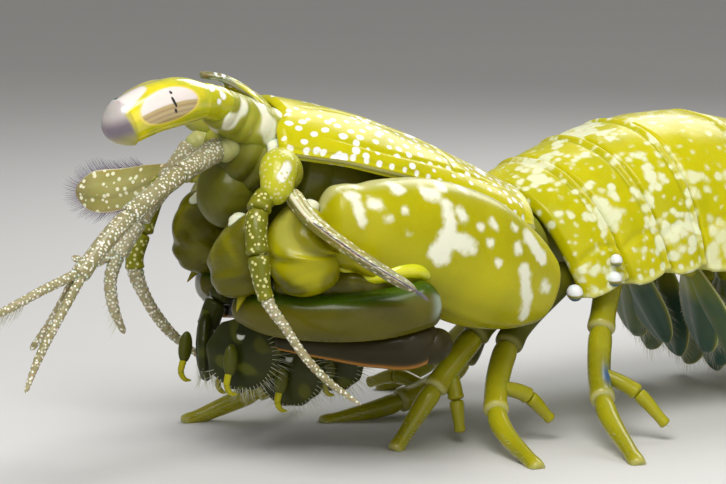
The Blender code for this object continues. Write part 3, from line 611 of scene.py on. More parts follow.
class EffectGroups:
    """Shader groups that several finishes share, each built once."""

    def __init__(self) -> None:
        """Build the four groups."""
        self.drift = self.make("slow_drift", {"Scale": 300.0, "Contrast": 0.5}, "Mask", self.build_drift)
        self.blotches = self.make("cream_blotches", {"Scale": 900.0, "Amount": 0.5}, "Mask",
                                  self.build_blotches)
        self.dots = self.make("pale_dots", {"Scale": 2600.0, "Size": 0.3}, "Mask", self.build_dots)
        self.relief = self.make("cuticle_relief", {"Scale": 4000.0, "Wrinkle": 0.3}, "Height",
                                self.build_relief)

    @staticmethod
    def make(name: str, inputs: dict[str, float], output: str,
             build: Callable[[NodeBench, bpy.types.Node], bpy.types.NodeSocket]) -> bpy.types.NodeTree:
        """Make a group.

        Args:
            name: The group's name.
            inputs: Its number inputs with their usual values.
            output: Its one output.
            build: Lays out the inside and gives the socket for the output.

        Returns:
            The finished group.
        """
        group = bpy.data.node_groups.new(name, "ShaderNodeTree")
        group.interface.new_socket("Place", in_out="INPUT", socket_type="NodeSocketVector")
        for key, value in inputs.items():
            socket = group.interface.new_socket(key, in_out="INPUT", socket_type="NodeSocketFloat")
            socket.default_value = value
        group.interface.new_socket(output, in_out="OUTPUT", socket_type="NodeSocketFloat")
        bench = NodeBench(group)
        source = bench.put("NodeGroupInput")
        sink = bench.put("NodeGroupOutput")
        group.links.new(build(bench, source), sink.inputs[0])
        return group

    @staticmethod
    def build_drift(bench: NodeBench, source: bpy.types.Node) -> bpy.types.NodeSocket:
        """Slow change of tone over the shell.

        Args:
            bench: The group's bench.
            source: The node of its inputs.

        Returns:
            A mask.
        """
        noise = bench.put("ShaderNodeTexNoise", Vector=source.outputs["Place"],
                          Scale=source.outputs["Scale"], Detail=3.0, Roughness=0.5)
        half = bench.maths("MULTIPLY", source.outputs["Contrast"], 0.5)
        low = bench.maths("SUBTRACT", 0.5, half)
        high = bench.maths("ADD", 0.5, half)
        return bench.step(noise.outputs[0], low, high)

    @staticmethod
    def build_blotches(bench: NodeBench, source: bpy.types.Node) -> bpy.types.NodeSocket:
        """Irregular cream blotches that run together in places.

        Args:
            bench: The group's bench.
            source: The node of its inputs.

        Returns:
            A mask.
        """
        place = source.outputs["Place"]
        bend = bench.put("ShaderNodeTexNoise", Vector=place, Detail=2.0,
                         Scale=bench.maths("MULTIPLY", source.outputs["Scale"], 1.3))
        shift = bench.put("ShaderNodeVectorMath", {"operation": "SCALE"})
        bench.feed(shift.inputs[0], bend.outputs[1])
        bench.feed(shift.inputs["Scale"], bench.maths("DIVIDE", 0.55, source.outputs["Scale"]))
        bent = bench.put("ShaderNodeVectorMath", {"operation": "ADD"})
        bench.feed(bent.inputs[0], place)
        bench.feed(bent.inputs[1], shift.outputs[0])
        cells = bench.put("ShaderNodeTexVoronoi", {"feature": "SMOOTH_F1"}, Vector=bent.outputs[0],
                          Scale=source.outputs["Scale"], Smoothness=0.35, Randomness=0.9)
        crowd = bench.put("ShaderNodeTexNoise", Vector=place, Detail=1.0,
                          Scale=bench.maths("MULTIPLY", source.outputs["Scale"], 0.33))
        spread = bench.step(crowd.outputs[0], 0.38, 0.66, 0.12, 0.62)
        limit = bench.maths("MULTIPLY", spread, bench.maths("MULTIPLY", source.outputs["Amount"], 2.0))
        return bench.step(bench.maths("SUBTRACT", limit, cells.outputs["Distance"]), -0.2, 0.2)

    @staticmethod
    def build_dots(bench: NodeBench, source: bpy.types.Node) -> bpy.types.NodeSocket:
        """Small round pale dots.

        Args:
            bench: The group's bench.
            source: The node of its inputs.

        Returns:
            A mask.
        """
        cells = bench.put("ShaderNodeTexVoronoi", {"feature": "F1"}, Vector=source.outputs["Place"],
                          Scale=source.outputs["Scale"], Randomness=0.85)
        low = bench.maths("MULTIPLY", source.outputs["Size"], 0.75)
        return bench.step(cells.outputs["Distance"], low, source.outputs["Size"], 1.0, 0.0)

    @staticmethod
    def build_relief(bench: NodeBench, source: bpy.types.Node) -> bpy.types.NodeSocket:
        """Fine pits and shallow wrinkles of the cuticle.

        Args:
            bench: The group's bench.
            source: The node of its inputs.

        Returns:
            A height.
        """
        pits = bench.put("ShaderNodeTexVoronoi", {"feature": "F1"}, Vector=source.outputs["Place"],
                         Scale=source.outputs["Scale"])
        pit = bench.step(pits.outputs["Distance"], 0.05, 0.35)
        waves = bench.put("ShaderNodeTexNoise", Vector=source.outputs["Place"], Detail=3.0,
                          Scale=bench.maths("MULTIPLY", source.outputs["Scale"], 0.22))
        fold = bench.maths("MULTIPLY", waves.outputs[0], source.outputs["Wrinkle"])
        return bench.maths("ADD", bench.maths("MULTIPLY", pit, 0.4), fold)


EFFECTS = EffectGroups()


def new_material(name: str) -> tuple[bpy.types.Material, NodeBench, bpy.types.Node, bpy.types.NodeSocket]:
    """Start a material.

    Args:
        name: Name of the material.

    Returns:
        The material, its bench, its shader and the socket of its object coordinates.
    """
    material = bpy.data.materials.new(name)
    material.use_nodes = True
    bench = NodeBench(material.node_tree)
    shader = material.node_tree.nodes["Principled BSDF"]
    return material, bench, shader, bench.put("ShaderNodeTexCoord").outputs["Object"]


@dataclass(frozen=True)
class Finish:
    """Colour, markings and gloss of one kind of cuticle.

    Attributes:
        name: Name of the material.
        colour: Main colour.
        shade: Second tone that drifts through the main one.
        mark: Colour of the marks moulded into the piece and of the pattern.
        tints: Colours laid over by the masks tint_a and tint_b.
        pattern: Marking painted by the material itself.
        scale: Size of the pattern, in cells for each metre.
        amount: Amount or size of the pattern's marks.
        softness: Softness of a moulded mark's edge, in millimetres.
        roughness: Roughness of the cuticle under its gloss.
        coat: Weight of the gloss.
        glow: Weight of the light that passes under the surface.
        bump: Depth of the fine relief, in millimetres.
        grain: Scale of the fine relief.
        clear: Share of light let through.
    """

    name: str
    colour: Colour
    shade: Colour
    mark: Colour = WHITE
    tints: tuple[Colour, Colour] = (WHITE, WHITE)
    pattern: Pattern = Pattern.PLAIN
    scale: float = 900.0
    amount: float = 0.5
    softness: float = 0.05
    roughness: float = 0.3
    coat: float = 0.14
    glow: float = 0.12
    bump: float = 0.02
    grain: float = 3500.0
    clear: float = 0.0

    def effect(self, bench: NodeBench, group: bpy.types.NodeTree, place: bpy.types.NodeSocket,
               **values: float) -> bpy.types.NodeSocket:
        """Place a shared group and give its output."""
        node = bench.put("ShaderNodeGroup", {"node_tree": group}, Place=place, **values)
        return node.outputs[0]

    def paint(self, bench: NodeBench, place: bpy.types.NodeSocket) -> bpy.types.NodeSocket:
        """Colour over the piece.

        Args:
            bench: The material's tree.
            place: Object coordinates.

        Returns:
            The socket that feeds Base Color.
        """
        tone = self.effect(bench, EFFECTS.drift, place, Scale=260.0, Contrast=0.45)
        colour = bench.mix(tone, self.colour, self.shade)
        for name, tint in zip(("tint_a", "tint_b"), self.tints):
            mask = bench.put("ShaderNodeAttribute", {"attribute_name": name})
            colour = bench.mix(mask.outputs["Fac"], colour, tint)
        if self.pattern is Pattern.BLOTCHES:
            mask = self.effect(bench, EFFECTS.blotches, place, Scale=self.scale, Amount=self.amount)
            colour = bench.mix(mask, colour, self.mark)
        elif self.pattern is Pattern.DOTS:
            mask = self.effect(bench, EFFECTS.dots, place, Scale=self.scale, Size=self.amount)
            colour = bench.mix(mask, colour, self.mark)
        depth = bench.put("ShaderNodeAttribute", {"attribute_name": "mark"})
        edge = bench.put("ShaderNodeTexNoise", Vector=place, Scale=1400.0, Detail=2.0)
        wobble = bench.maths("MULTIPLY", bench.maths("SUBTRACT", edge.outputs[0], 0.5), self.softness * 4.0)
        mask = bench.step(bench.maths("ADD", depth.outputs["Fac"], wobble), -self.softness, self.softness)
        return bench.mix(mask, colour, self.mark)

    def material(self) -> bpy.types.Material:
        """The finish as a material, made once."""
        known = bpy.data.materials.get(self.name)
        if known:
            return known
        material, bench, shader, place = new_material(self.name)
        bench.feed(shader.inputs["Base Color"], self.paint(bench, place))
        wear = self.effect(bench, EFFECTS.drift, place, Scale=900.0, Contrast=0.6)
        bench.feed(shader.inputs["Roughness"],
                   bench.step(wear, 0.0, 1.0, self.roughness * 0.8, self.roughness * 1.25))
        height = self.effect(bench, EFFECTS.relief, place, Scale=self.grain, Wrinkle=0.6)
        bump = bench.put("ShaderNodeBump", Height=height, Strength=0.6, Distance=self.bump * MM)
        bench.feed(shader.inputs["Normal"], bump.outputs[0])
        shader.inputs["Coat Weight"].default_value = self.coat
        shader.inputs["Coat Roughness"].default_value = 0.16
        shader.inputs["Specular IOR Level"].default_value = 0.22
        shader.inputs["Subsurface Weight"].default_value = self.glow
        shader.inputs["Subsurface Scale"].default_value = 0.0008
        shader.inputs["Transmission Weight"].default_value = self.clear
        shader.inputs["IOR"].default_value = 1.4
        return material


LIME: Colour = (0.58, 0.53, 0.002)
LIME_DEEP: Colour = (0.45, 0.43, 0.001)

SHELL = Finish("spotted_shell", LIME, LIME_DEEP, mark=WHITE, softness=0.05,
               tints=((0.72, 0.74, 0.42), (0.34, 0.36, 0.01)))
BLOTCHED = Finish("blotched_shell", LIME, LIME_DEEP, mark=(0.72, 0.73, 0.42), pattern=Pattern.BLOTCHES,
                  scale=1350.0, amount=0.5, softness=0.08, tints=((0.62, 0.62, 0.2), (0.3, 0.31, 0.01)))
SPECKLED = Finish("speckled_shell", LIME, LIME_DEEP, mark=(0.75, 0.77, 0.5), pattern=Pattern.BLOTCHES,
                  scale=1750.0, amount=0.58, softness=0.08, tints=((0.62, 0.62, 0.2), (0.3, 0.31, 0.01)))
# The arm's pale tint is a painted highlight along the tops of the merus and carpus; its dark tint is painted
# shade under the ischium, merus and carpus and on the lump between wrist and hand, and also darkens the
# carpus's hind lobe and streaks, its teeth and the mouth-leg hooks.
ARM = Finish("arm_shell", (0.48, 0.44, 0.001), (0.37, 0.35, 0.001), mark=(0.82, 0.83, 0.66), softness=0.2,
             roughness=0.3, coat=0.2, glow=0.12, bump=0.01,
             tints=((0.72, 0.76, 0.62), (0.09, 0.085, 0.001)))
# The hand's second tint is the dark green of a painted shadow and reflection along its top.
HAND = Finish("club_shell", (0.105, 0.092, 0.0005), (0.065, 0.06, 0.0005), roughness=0.3, coat=0.25,
              glow=0.03, bump=0.006, tints=((0.38, 0.47, 0.4), (0.035, 0.085, 0.002)))
DACTYL = Finish("dactyl_shell", (0.02, 0.015, 0.002), (0.028, 0.022, 0.003), roughness=0.4, coat=0.15,
                glow=0.0, bump=0.006, tints=((0.42, 0.17, 0.01), (0.5, 0.5, 0.3)))
MOUTH = Finish("mouthpart_cuticle", (0.014, 0.02, 0.001), (0.035, 0.038, 0.002), mark=(0.7, 0.72, 0.66),
               roughness=0.4, coat=0.15, glow=0.04, tints=((0.13, 0.14, 0.005), (0.5, 0.46, 0.02)))
# The membrane's second tint is painted shade: the darker undersides of the thorax and head, and the dark brow.
MEMBRANE = Finish("soft_membrane", (0.42, 0.42, 0.05), (0.24, 0.25, 0.015), mark=(0.84, 0.84, 0.72),
                  roughness=0.4, coat=0.25, glow=0.25, bump=0.05, grain=1800.0,
                  tints=((0.8, 0.8, 0.66), (0.07, 0.07, 0.002)))
LEG_ROOT = Finish("leg_root_cuticle", (0.11, 0.11, 0.004), (0.055, 0.058, 0.003), roughness=0.35, glow=0.05,
                  tints=((0.4, 0.38, 0.1), (0.02, 0.03, 0.02)))
LEG = Finish("leg_cuticle", (0.37, 0.35, 0.008), (0.25, 0.24, 0.005), mark=(0.8, 0.83, 0.84), roughness=0.3,
             coat=0.45, glow=0.2, tints=((0.66, 0.64, 0.34), (0.012, 0.085, 0.26)))
FEELER = Finish("feeler_cuticle", (0.42, 0.39, 0.24), (0.26, 0.24, 0.11), mark=(0.8, 0.8, 0.7),
                pattern=Pattern.DOTS, scale=5400.0, amount=0.42, roughness=0.3, coat=0.4, glow=0.3,
                bump=0.03, tints=((0.78, 0.79, 0.74), (0.14, 0.14, 0.012)))
PEDUNCLE = Finish("antenna_cuticle", (0.22, 0.22, 0.008), (0.14, 0.15, 0.006), mark=(0.62, 0.6, 0.26),
                  pattern=Pattern.DOTS, scale=3600.0, amount=0.36, roughness=0.3, coat=0.3, glow=0.2,
                  tints=((0.8, 0.8, 0.72), (0.5, 0.5, 0.02)))
BLADE = Finish("scale_cuticle", (0.3, 0.27, 0.05), (0.42, 0.4, 0.16), mark=(0.82, 0.82, 0.6),
               pattern=Pattern.DOTS, scale=2500.0, amount=0.34, roughness=0.3, coat=0.3, glow=0.35,
               tints=((0.76, 0.76, 0.6), (0.05, 0.07, 0.2)))
SWIMMER = Finish("swimmeret_cuticle", (0.32, 0.32, 0.03), (0.14, 0.2, 0.06), mark=(0.7, 0.74, 0.6),
                 roughness=0.35, coat=0.4, glow=0.35, tints=((0.6, 0.62, 0.3), (0.008, 0.08, 0.1)))
HAIR = Finish("pale_hair", (0.62, 0.6, 0.42), (0.5, 0.48, 0.34), roughness=0.45, coat=0.1, glow=0.2)
BLUE_HAIR = Finish("blue_fringe", (0.04, 0.05, 0.12), (0.12, 0.13, 0.2), roughness=0.45, coat=0.1, glow=0.2)
HORN = Finish("clear_spine", (0.2, 0.22, 0.1), (0.15, 0.17, 0.06), roughness=0.2, coat=0.4, glow=0.3,
              tints=((0.5, 0.5, 0.006), (0.7, 0.72, 0.6)))
CLEAR = Finish("clear_cuticle", (0.95, 0.96, 0.97), (0.95, 0.96, 0.97), roughness=0.03, coat=0.0, glow=0.0,
               bump=0.0, clear=1.0)


def placed(surface: Surface, side: Side, shift: tuple[float, float, float] = (0.0, 0.0, 0.0)) -> Surface:
    """A surface built for the left, turned over to a side and shifted."""
    points = surface.points * side.flip + shift
    return Surface(points, surface.flat, surface.cap, surface.masks)


def stretch(rows: Rows, first: float, last: float, count: int = 7) -> Rows:
    """Rows of the part of a route between two shares of its length."""
    return tuple(map(tuple, spline(rows, np.linspace(first, last, count))))


def jointed(rows: Rows, cuts: tuple[float, ...], swell: float, stations: int = 40,
            sides: int = 28, **settings: object) -> list[Limb]:
    """Articles of a jointed limb, each swollen a little at its far end.

    Args:
        rows: The whole route with its sizes.
        cuts: Shares of the length where one article ends and the next begins.
        swell: Height of the swelling at the end of an article.
        stations: Rings of each article.
        sides: Points round each ring.
        settings: Other fields of the limbs.

    Returns:
        One limb for each article.
    """
    limbs = []
    marks = (0.0, *cuts, 1.0)
    for first, last in zip(marks, marks[1:]):
        part = stretch(rows, max(first - 0.012, 0.0), last)
        length = float(np.linalg.norm(np.diff(np.array(part)[:, :3], axis=0), axis=1).sum())
        radius = max(part[-1][3], part[-1][-1])

        def collar(along: np.ndarray, _: np.ndarray, length: float = length) -> np.ndarray:
            """Swelling before the joint."""
            before = hump(along, length * 0.93, length * 0.1)
            return swell * before - swell * hump(along, 0.0, length * 0.08)

        limbs.append(Limb(part, stations, sides, (radius * 0.35, radius * 0.55), relief=collar, **settings))
    return limbs


def spike(root: tuple, tip: tuple, radius: float, bow: float = 0.0, sides: int = 14) -> Limb:
    """Spine from a sunk root to a fine point, bowed upwards by a share of its length.

    Args:
        root: Middle of the root.
        tip: The point.
        radius: Radius at the root.
        bow: Bow upwards as a share of the length.
        sides: Points round each ring.

    Returns:
        The spine.
    """
    start, end = np.array(root, dtype=float), np.array(tip, dtype=float)
    length = float(np.linalg.norm(end - start))
    rows = []
    for share in (0.0, 0.3, 0.6, 0.85, 1.0):
        place = start + (end - start) * share + (0.0, 0.0, bow * length * math.sin(math.pi * share))
        rows.append((*place, radius * (1.0 - 0.93 * share**1.3)))
    return Limb(tuple(rows), 16, sides, (0.0, radius * 0.2))


def knob(centre: tuple, radii: tuple[float, float, float], aim: tuple[float, float, float] = (0, 0, 1),
         stations: int = 26, sides: int = 28, relief: Relief | None = None) -> Limb:
    """Rounded lump about a centre: half length along aim, half width and half height.

    Args:
        centre: Its middle.
        radii: Half length along the aim, half width and half height.
        aim: Direction of its length.
        stations: Rings along it.
        sides: Points round each ring.
        relief: Height added outwards.

    Returns:
        The lump.
    """
    middle, way = np.array(centre, dtype=float), unit(np.array(aim, dtype=float))
    half, wide, high = radii
    rows = tuple((*(middle + way * half * share), wide, high) for share in (-1.0, -0.4, 0.4, 1.0))
    up = (1.0, 0.0, 0.0) if abs(way[2]) > 0.8 else (0.0, 0.0, 1.0)
    return Limb(rows, stations, sides, (half, half), up=up, relief=relief)


def folds(size: float, pace: float, seed: int) -> Relief:
    """Soft creases across a membrane.

    Args:
        size: Height of a crease.
        pace: Distance from crease to crease.
        seed: Seed of their wander.

    Returns:
        The relief of a limb.
    """
    def crease(along: np.ndarray, around: np.ndarray) -> np.ndarray:
        """Height of the creases."""
        place = np.stack((along * 2.0, np.cos(around) * 2.0, np.sin(around) * 2.0), axis=-1)
        wave = along * 2.0 * np.pi / pace + ripple(place, 5.0, seed) * 1.2
        return size * (np.abs(np.sin(wave / 2.0)) - 0.6)
    return crease


def spot_rows(low: tuple[float, float], high: tuple[float, float], pace: float, radius: float, seed: int,
              keep: Callable[[float, float], float]) -> np.ndarray:
    """Round spots in loose rows over a flat map.

    Args:
        low: Lowest corner of the map.
        high: Highest corner.
        pace: Distance from spot to spot.
        radius: Usual radius.
        seed: Seed of the scatter.
        keep: Chance that a spot is there, from its place.

    Returns:
        Rows of x, y, radius.
    """
    draw = random.Random(seed)
    spots = []
    row = 0
    y = low[1]
    while y < high[1]:
        x = low[0] + (row % 2) * pace * 0.5
        while x < high[0]:
            place = (x + draw.gauss(0.0, 0.16) * pace, y + draw.gauss(0.0, 0.16) * pace)
            size = radius * draw.uniform(0.72, 1.2)
            if draw.random() < keep(*place):
                spots.append((*place, size))
            x += pace
        y += pace * 0.9
        row += 1
    return np.array(spots)


def flat_depth(flat: np.ndarray, spots: np.ndarray) -> np.ndarray:
    """Depth inside the nearest of some spots on a flat map.

    Args:
        flat: Flat map of a surface.
        spots: Rows of x, y, radius.

    Returns:
        Positive numbers inside a spot.
    """
    depth = np.full(flat.shape[:-1], -1.0)
    for x, y, radius in spots:
        depth = np.maximum(depth, radius - np.hypot(flat[..., 0] - x, flat[..., 1] - y))
    return depth


def strokes(across: np.ndarray, up: np.ndarray, lines: Rows) -> np.ndarray:
    """Depth inside painted strokes.

    Args:
        across: First coordinate of the points.
        up: Second coordinate.
        lines: Rows of two ends and a radius for each.

    Returns:
        Positive numbers inside a stroke.
    """
    depth = np.full(across.shape, -1.0)
    for x0, y0, r0, x1, y1, r1 in lines:
        span = (x1 - x0) ** 2 + (y1 - y0) ** 2 + 1e-9
        share = np.clip(((across - x0) * (x1 - x0) + (up - y0) * (y1 - y0)) / span, 0.0, 1.0)
        reach = np.hypot(across - x0 - share * (x1 - x0), up - y0 - share * (y1 - y0))
        depth = np.maximum(depth, r0 + (r1 - r0) * share - reach)
    return depth


def grown_tree(name: str, sockets: tuple[tuple[str, str], ...],
               lay_out: Callable[[NodeBench, bpy.types.NodeOutputs], bpy.types.NodeSocket],
               ) -> bpy.types.NodeTree:
    """A Geometry Nodes tree, made once, that ends in real faces with their material.

    Args:
        name: Name of the tree.
        sockets: Name and kind of each input; the last one is the finish.
        lay_out: Lays out the inside and gives the socket of the shape.

    Returns:
        The tree.
    """
    known = bpy.data.node_groups.get(name)
    if known:
        return known
    tree = bpy.data.node_groups.new(name, "GeometryNodeTree")
    for key, kind in sockets:
        tree.interface.new_socket(key, in_out="INPUT", socket_type=f"NodeSocket{kind}")
    tree.interface.new_socket("Pieces", in_out="OUTPUT", socket_type="NodeSocketGeometry")
    bench = NodeBench(tree)
    given, sink = bench.put("NodeGroupInput").outputs, bench.put("NodeGroupOutput")
    real = bench.put("GeometryNodeRealizeInstances", Geometry=lay_out(bench, given))
    dressed = bench.put("GeometryNodeSetMaterial", Geometry=real.outputs["Geometry"],
                        Material=given["Finish"])
    tree.links.new(dressed.outputs["Geometry"], sink.inputs[0])
    return tree


@dataclass(frozen=True)
class HairRow:
    """Hairs or small spines set along lines and grown by Geometry Nodes.

    Attributes:
        spacing: Distance from root to root.
        length: Usual length.
        radius: Radius at the root.
        bend: Sideways bend of the tip as a share of the length.
        stray: How far a hair strays from its aim.
        seed: Seed of the scatter.
        bones: Straight pieces that one hair has along it.
    """

    spacing: float
    length: float
    radius: float
    bend: float = 0.15
    stray: float = 0.12
    seed: int = 1
    bones: int = 3

    SOCKETS = (("Lines", "Geometry"), ("Spacing", "Float"), ("Length", "Float"), ("Thickness", "Float"),
               ("Bend", "Float"), ("Stray", "Float"), ("Bones", "Int"), ("Seed", "Int"),
               ("Finish", "Material"))

    @staticmethod
    def lay_out(bench: NodeBench, given: bpy.types.NodeOutputs) -> bpy.types.NodeSocket:
        """Lay out the tree that every row shares.

        Args:
            bench: The tree's bench.
            given: The tree's inputs.

        Returns:
            The socket of the grown hairs.
        """
        curves = bench.put("GeometryNodeMeshToCurve", Mesh=given["Lines"])
        roots = bench.put("GeometryNodeResampleCurve", {"mode": "LENGTH"}, Curve=curves.outputs["Curve"],
                          Length=given["Spacing"])
        end = bench.put("ShaderNodeCombineXYZ", X=given["Bend"], Z=1.0)
        spine = bench.put("GeometryNodeCurveQuadraticBezier", Resolution=given["Bones"],
                          Start=(0.0, 0.0, 0.0), Middle=(0.0, 0.0, 0.55), End=end.outputs[0])
        share = bench.put("GeometryNodeSplineParameter")
        narrowing = bench.maths("MULTIPLY", share.outputs["Factor"], 0.9)
        taper = bench.maths("MULTIPLY", given["Thickness"], bench.maths("SUBTRACT", 1.0, narrowing))
        ring = bench.put("GeometryNodeCurvePrimitiveCircle", Resolution=4, Radius=1.0)
        hair = bench.put("GeometryNodeCurveToMesh", Curve=spine.outputs["Curve"], Scale=taper, Fill_Caps=True)
        bench.feed(hair.inputs["Profile Curve"], ring.outputs["Curve"])
        lean = bench.put("GeometryNodeInputNamedAttribute", {"data_type": "FLOAT_VECTOR"}, Name="lean")
        spread = bench.put("FunctionNodeRandomValue", {"data_type": "FLOAT_VECTOR"}, Seed=given["Seed"])
        spread.inputs[0].default_value = (-1.0, -1.0, -1.0)
        spread.inputs[1].default_value = (1.0, 1.0, 1.0)
        wander = bench.put("ShaderNodeVectorMath", {"operation": "SCALE"})
        bench.feed(wander.inputs[0], spread.outputs[0])
        bench.feed(wander.inputs["Scale"], given["Stray"])
        aim = bench.put("ShaderNodeVectorMath", {"operation": "ADD"})
        bench.feed(aim.inputs[0], lean.outputs["Attribute"])
        bench.feed(aim.inputs[1], wander.outputs[0])
        turn = bench.put("FunctionNodeAlignRotationToVector", {"axis": "Z"}, Vector=aim.outputs[0])
        scatter = bench.put("FunctionNodeRandomValue", {"data_type": "FLOAT"}, Seed=given["Seed"])
        scatter.inputs[2].default_value = 0.72
        scatter.inputs[3].default_value = 1.1
        reach = bench.maths("MULTIPLY", given["Length"], scatter.outputs[1])
        grown = bench.put("GeometryNodeInstanceOnPoints", Points=roots.outputs["Curve"],
                          Instance=hair.outputs["Mesh"], Rotation=turn.outputs["Rotation"])
        bench.feed(grown.inputs["Scale"], reach)
        place = bench.put("GeometryNodeInputPosition")
        kept = bench.put("GeometryNodeStoreNamedAttribute",
                         {"data_type": "FLOAT_VECTOR", "domain": "INSTANCE"},
                         Geometry=grown.outputs["Instances"], Name="root", Value=place.outputs[0])
        return kept.outputs["Geometry"]

    def grow(self, name: str, lines: list[tuple[np.ndarray, np.ndarray]],
             finish: bpy.types.Material) -> bpy.types.Object:
        """Grow the hairs along lines.

        Args:
            name: Name of the piece.
            lines: Points of each line in the working frame, and the aim of a hair at each.
            finish: The hairs' material.

        Returns:
            The hairs as one plain mesh.
        """
        points, edges, leans = [], [], []
        for line, aims in lines:
            base = len(points)
            points.extend(((np.asarray(line) - ORIGIN) * MM).tolist())
            leans.extend(unit(np.asarray(aims, dtype=float)).tolist())
            edges.extend((base + step, base + step + 1) for step in range(len(line) - 1))
        mesh = bpy.data.meshes.new(name)
        mesh.from_pydata(points, edges, [])
        lay_values(mesh, "lean", leans, vector=True)
        return plain(name, mesh, grown_tree("hair_row", self.SOCKETS, self.lay_out), {
            "Spacing": self.spacing * MM, "Length": self.length * MM,
            "Thickness": self.radius / self.length, "Bend": self.bend, "Stray": self.stray,
            "Bones": self.bones, "Seed": self.seed, "Finish": finish})


def plain(name: str, mesh: bpy.types.Mesh, tree: bpy.types.NodeTree,
          inputs: dict[str, object]) -> bpy.types.Object:
    """Run a Geometry Nodes tree over a mesh and keep the result as a plain mesh.

    Args:
        name: Name of the new piece.
        mesh: The tree's input.
        tree: The tree.
        inputs: Values of its named inputs.

    Returns:
        The piece, with the mark mask that the finishes read, and for hairs a flat map at their roots.
    """
    piece = bpy.data.objects.new(name, mesh)
    bpy.context.scene.collection.objects.link(piece)
    modifier = piece.modifiers.new("grown", "NODES")
    modifier.node_group = tree
    for item in tree.interface.items_tree:
        if item.in_out == "INPUT" and item.name in inputs:
            modifier[item.identifier] = inputs[item.name]
    bpy.context.view_layer.update()
    done = bpy.data.meshes.new_from_object(piece.evaluated_get(bpy.context.evaluated_depsgraph_get()))
    piece.modifiers.clear()
    piece.data = done
    done.name = name
    places = np.empty((len(done.vertices), 3), dtype=np.float32)
    done.vertices.foreach_get("co", places.ravel())
    places[:, 2] = np.maximum(places[:, 2], 0.0)
    done.vertices.foreach_set("co", places.ravel())
    lay_values(done, "mark", np.full(len(done.vertices), UNMARKED))
    lay_root_map(done)
    done.shade_smooth()
    return piece


def lay_root_map(mesh: bpy.types.Mesh) -> None:
    """Give every hair a small patch of the bake map, at its root's place on the skin.

    Args:
        mesh: Mesh of the hairs.
    """
    if "root" not in mesh.attributes:
        return
    count = len(mesh.vertices)
    roots = np.empty(count * 3, dtype=np.float32)
    mesh.attributes["root"].data.foreach_get("vector", roots)
    places = np.empty(count * 3, dtype=np.float32)
    mesh.vertices.foreach_get("co", places)
    roots, places = roots.reshape(-1, 3), places.reshape(-1, 3)
    low, span = roots.min(axis=0), np.ptp(roots, axis=0)
    first, second = np.argsort(span)[::-1][:2]
    scale = 0.97 / max(float(span[first]), 1e-6)
    offset = places - roots
    reach = max(float(np.abs(offset).max()), 1e-6)
    flat = (roots - low)[:, (first, second)] * scale + 0.01
    flat = flat + offset[:, (first, second)] / reach * 0.0015
    corners = np.empty(len(mesh.loops), dtype=np.int32)
    mesh.loops.foreach_get("vertex_index", corners)
    layer = mesh.uv_layers.new(name="OFBake")
    layer.data.foreach_set("uv", flat[corners].ravel().astype(np.float32))


@dataclass(frozen=True)
class RingedWhip:
    """Annulated whip along a route, grown by Geometry Nodes.

    Attributes:
        pitch: Length of one ring.
        swell: Height of a ring as a share of the radius.
        sides: Points round the whip.
    """

    pitch: float = 0.42
    swell: float = 0.14
    sides: int = 18

    SOCKETS = (("Route", "Geometry"), ("Pitch", "Float"), ("Swell", "Float"), ("Sides", "Int"),
               ("Finish", "Material"))
    STATIONS = 60

    @staticmethod
    def lay_out(bench: NodeBench, given: bpy.types.NodeOutputs) -> bpy.types.NodeSocket:
        """Lay out the tree that every whip shares.

        Args:
            bench: The tree's bench.
            given: The tree's inputs.

        Returns:
            The socket of the grown whips.
        """
        curve = bench.put("GeometryNodeMeshToCurve", Mesh=given["Route"])
        fine = bench.put("GeometryNodeResampleCurve", {"mode": "LENGTH"}, Curve=curve.outputs["Curve"],
                         Length=bench.maths("DIVIDE", given["Pitch"], 7.0))
        share = bench.put("GeometryNodeSplineParameter")
        rings = bench.maths("DIVIDE", share.outputs["Length"], given["Pitch"])
        ring = bench.maths("ABSOLUTE", bench.maths("SINE", bench.maths("MULTIPLY", rings, math.pi)))
        grown = bench.maths("ADD", 1.0, bench.maths("MULTIPLY", given["Swell"],
                                                    bench.maths("SUBTRACT", ring, 0.6)))
        thick = bench.put("GeometryNodeInputNamedAttribute", {"data_type": "FLOAT"}, Name="thick")
        width = bench.maths("MULTIPLY", thick.outputs["Attribute"], grown)
        circle = bench.put("GeometryNodeCurvePrimitiveCircle", Resolution=given["Sides"], Radius=1.0)
        body = bench.put("GeometryNodeCurveToMesh", Curve=fine.outputs["Curve"], Scale=width, Fill_Caps=True)
        bench.feed(body.inputs["Profile Curve"], circle.outputs["Curve"])
        return body.outputs["Mesh"]

    def grow(self, name: str, routes: list[Rows], finish: bpy.types.Material) -> bpy.types.Object:
        """Grow whips as one plain mesh.

        Args:
            name: Name of the piece.
            routes: Rows of x, y, z and radius along each whip.
            finish: The whips' material.

        Returns:
            The finished object.
        """
        points, edges, thick = [], [], []
        shares = np.linspace(0.0, 1.0, self.STATIONS)
        taper = np.sqrt(np.clip((1.0 - shares) * 30.0, 0.02, 1.0))
        for rows in routes:
            samples = spline(rows, shares)
            base = len(points)
            points.extend(((samples[:, :3] - ORIGIN) * MM).tolist())
            thick.extend((samples[:, 3] * taper * MM).tolist())
            edges.extend((base + step, base + step + 1) for step in range(self.STATIONS - 1))
        mesh = bpy.data.meshes.new(name)
        mesh.from_pydata(points, edges, [])
        lay_values(mesh, "thick", thick)
        return plain(name, mesh, grown_tree("ringed_whip", self.SOCKETS, self.lay_out), {
            "Pitch": self.pitch * MM, "Swell": self.swell, "Sides": self.sides, "Finish": finish})


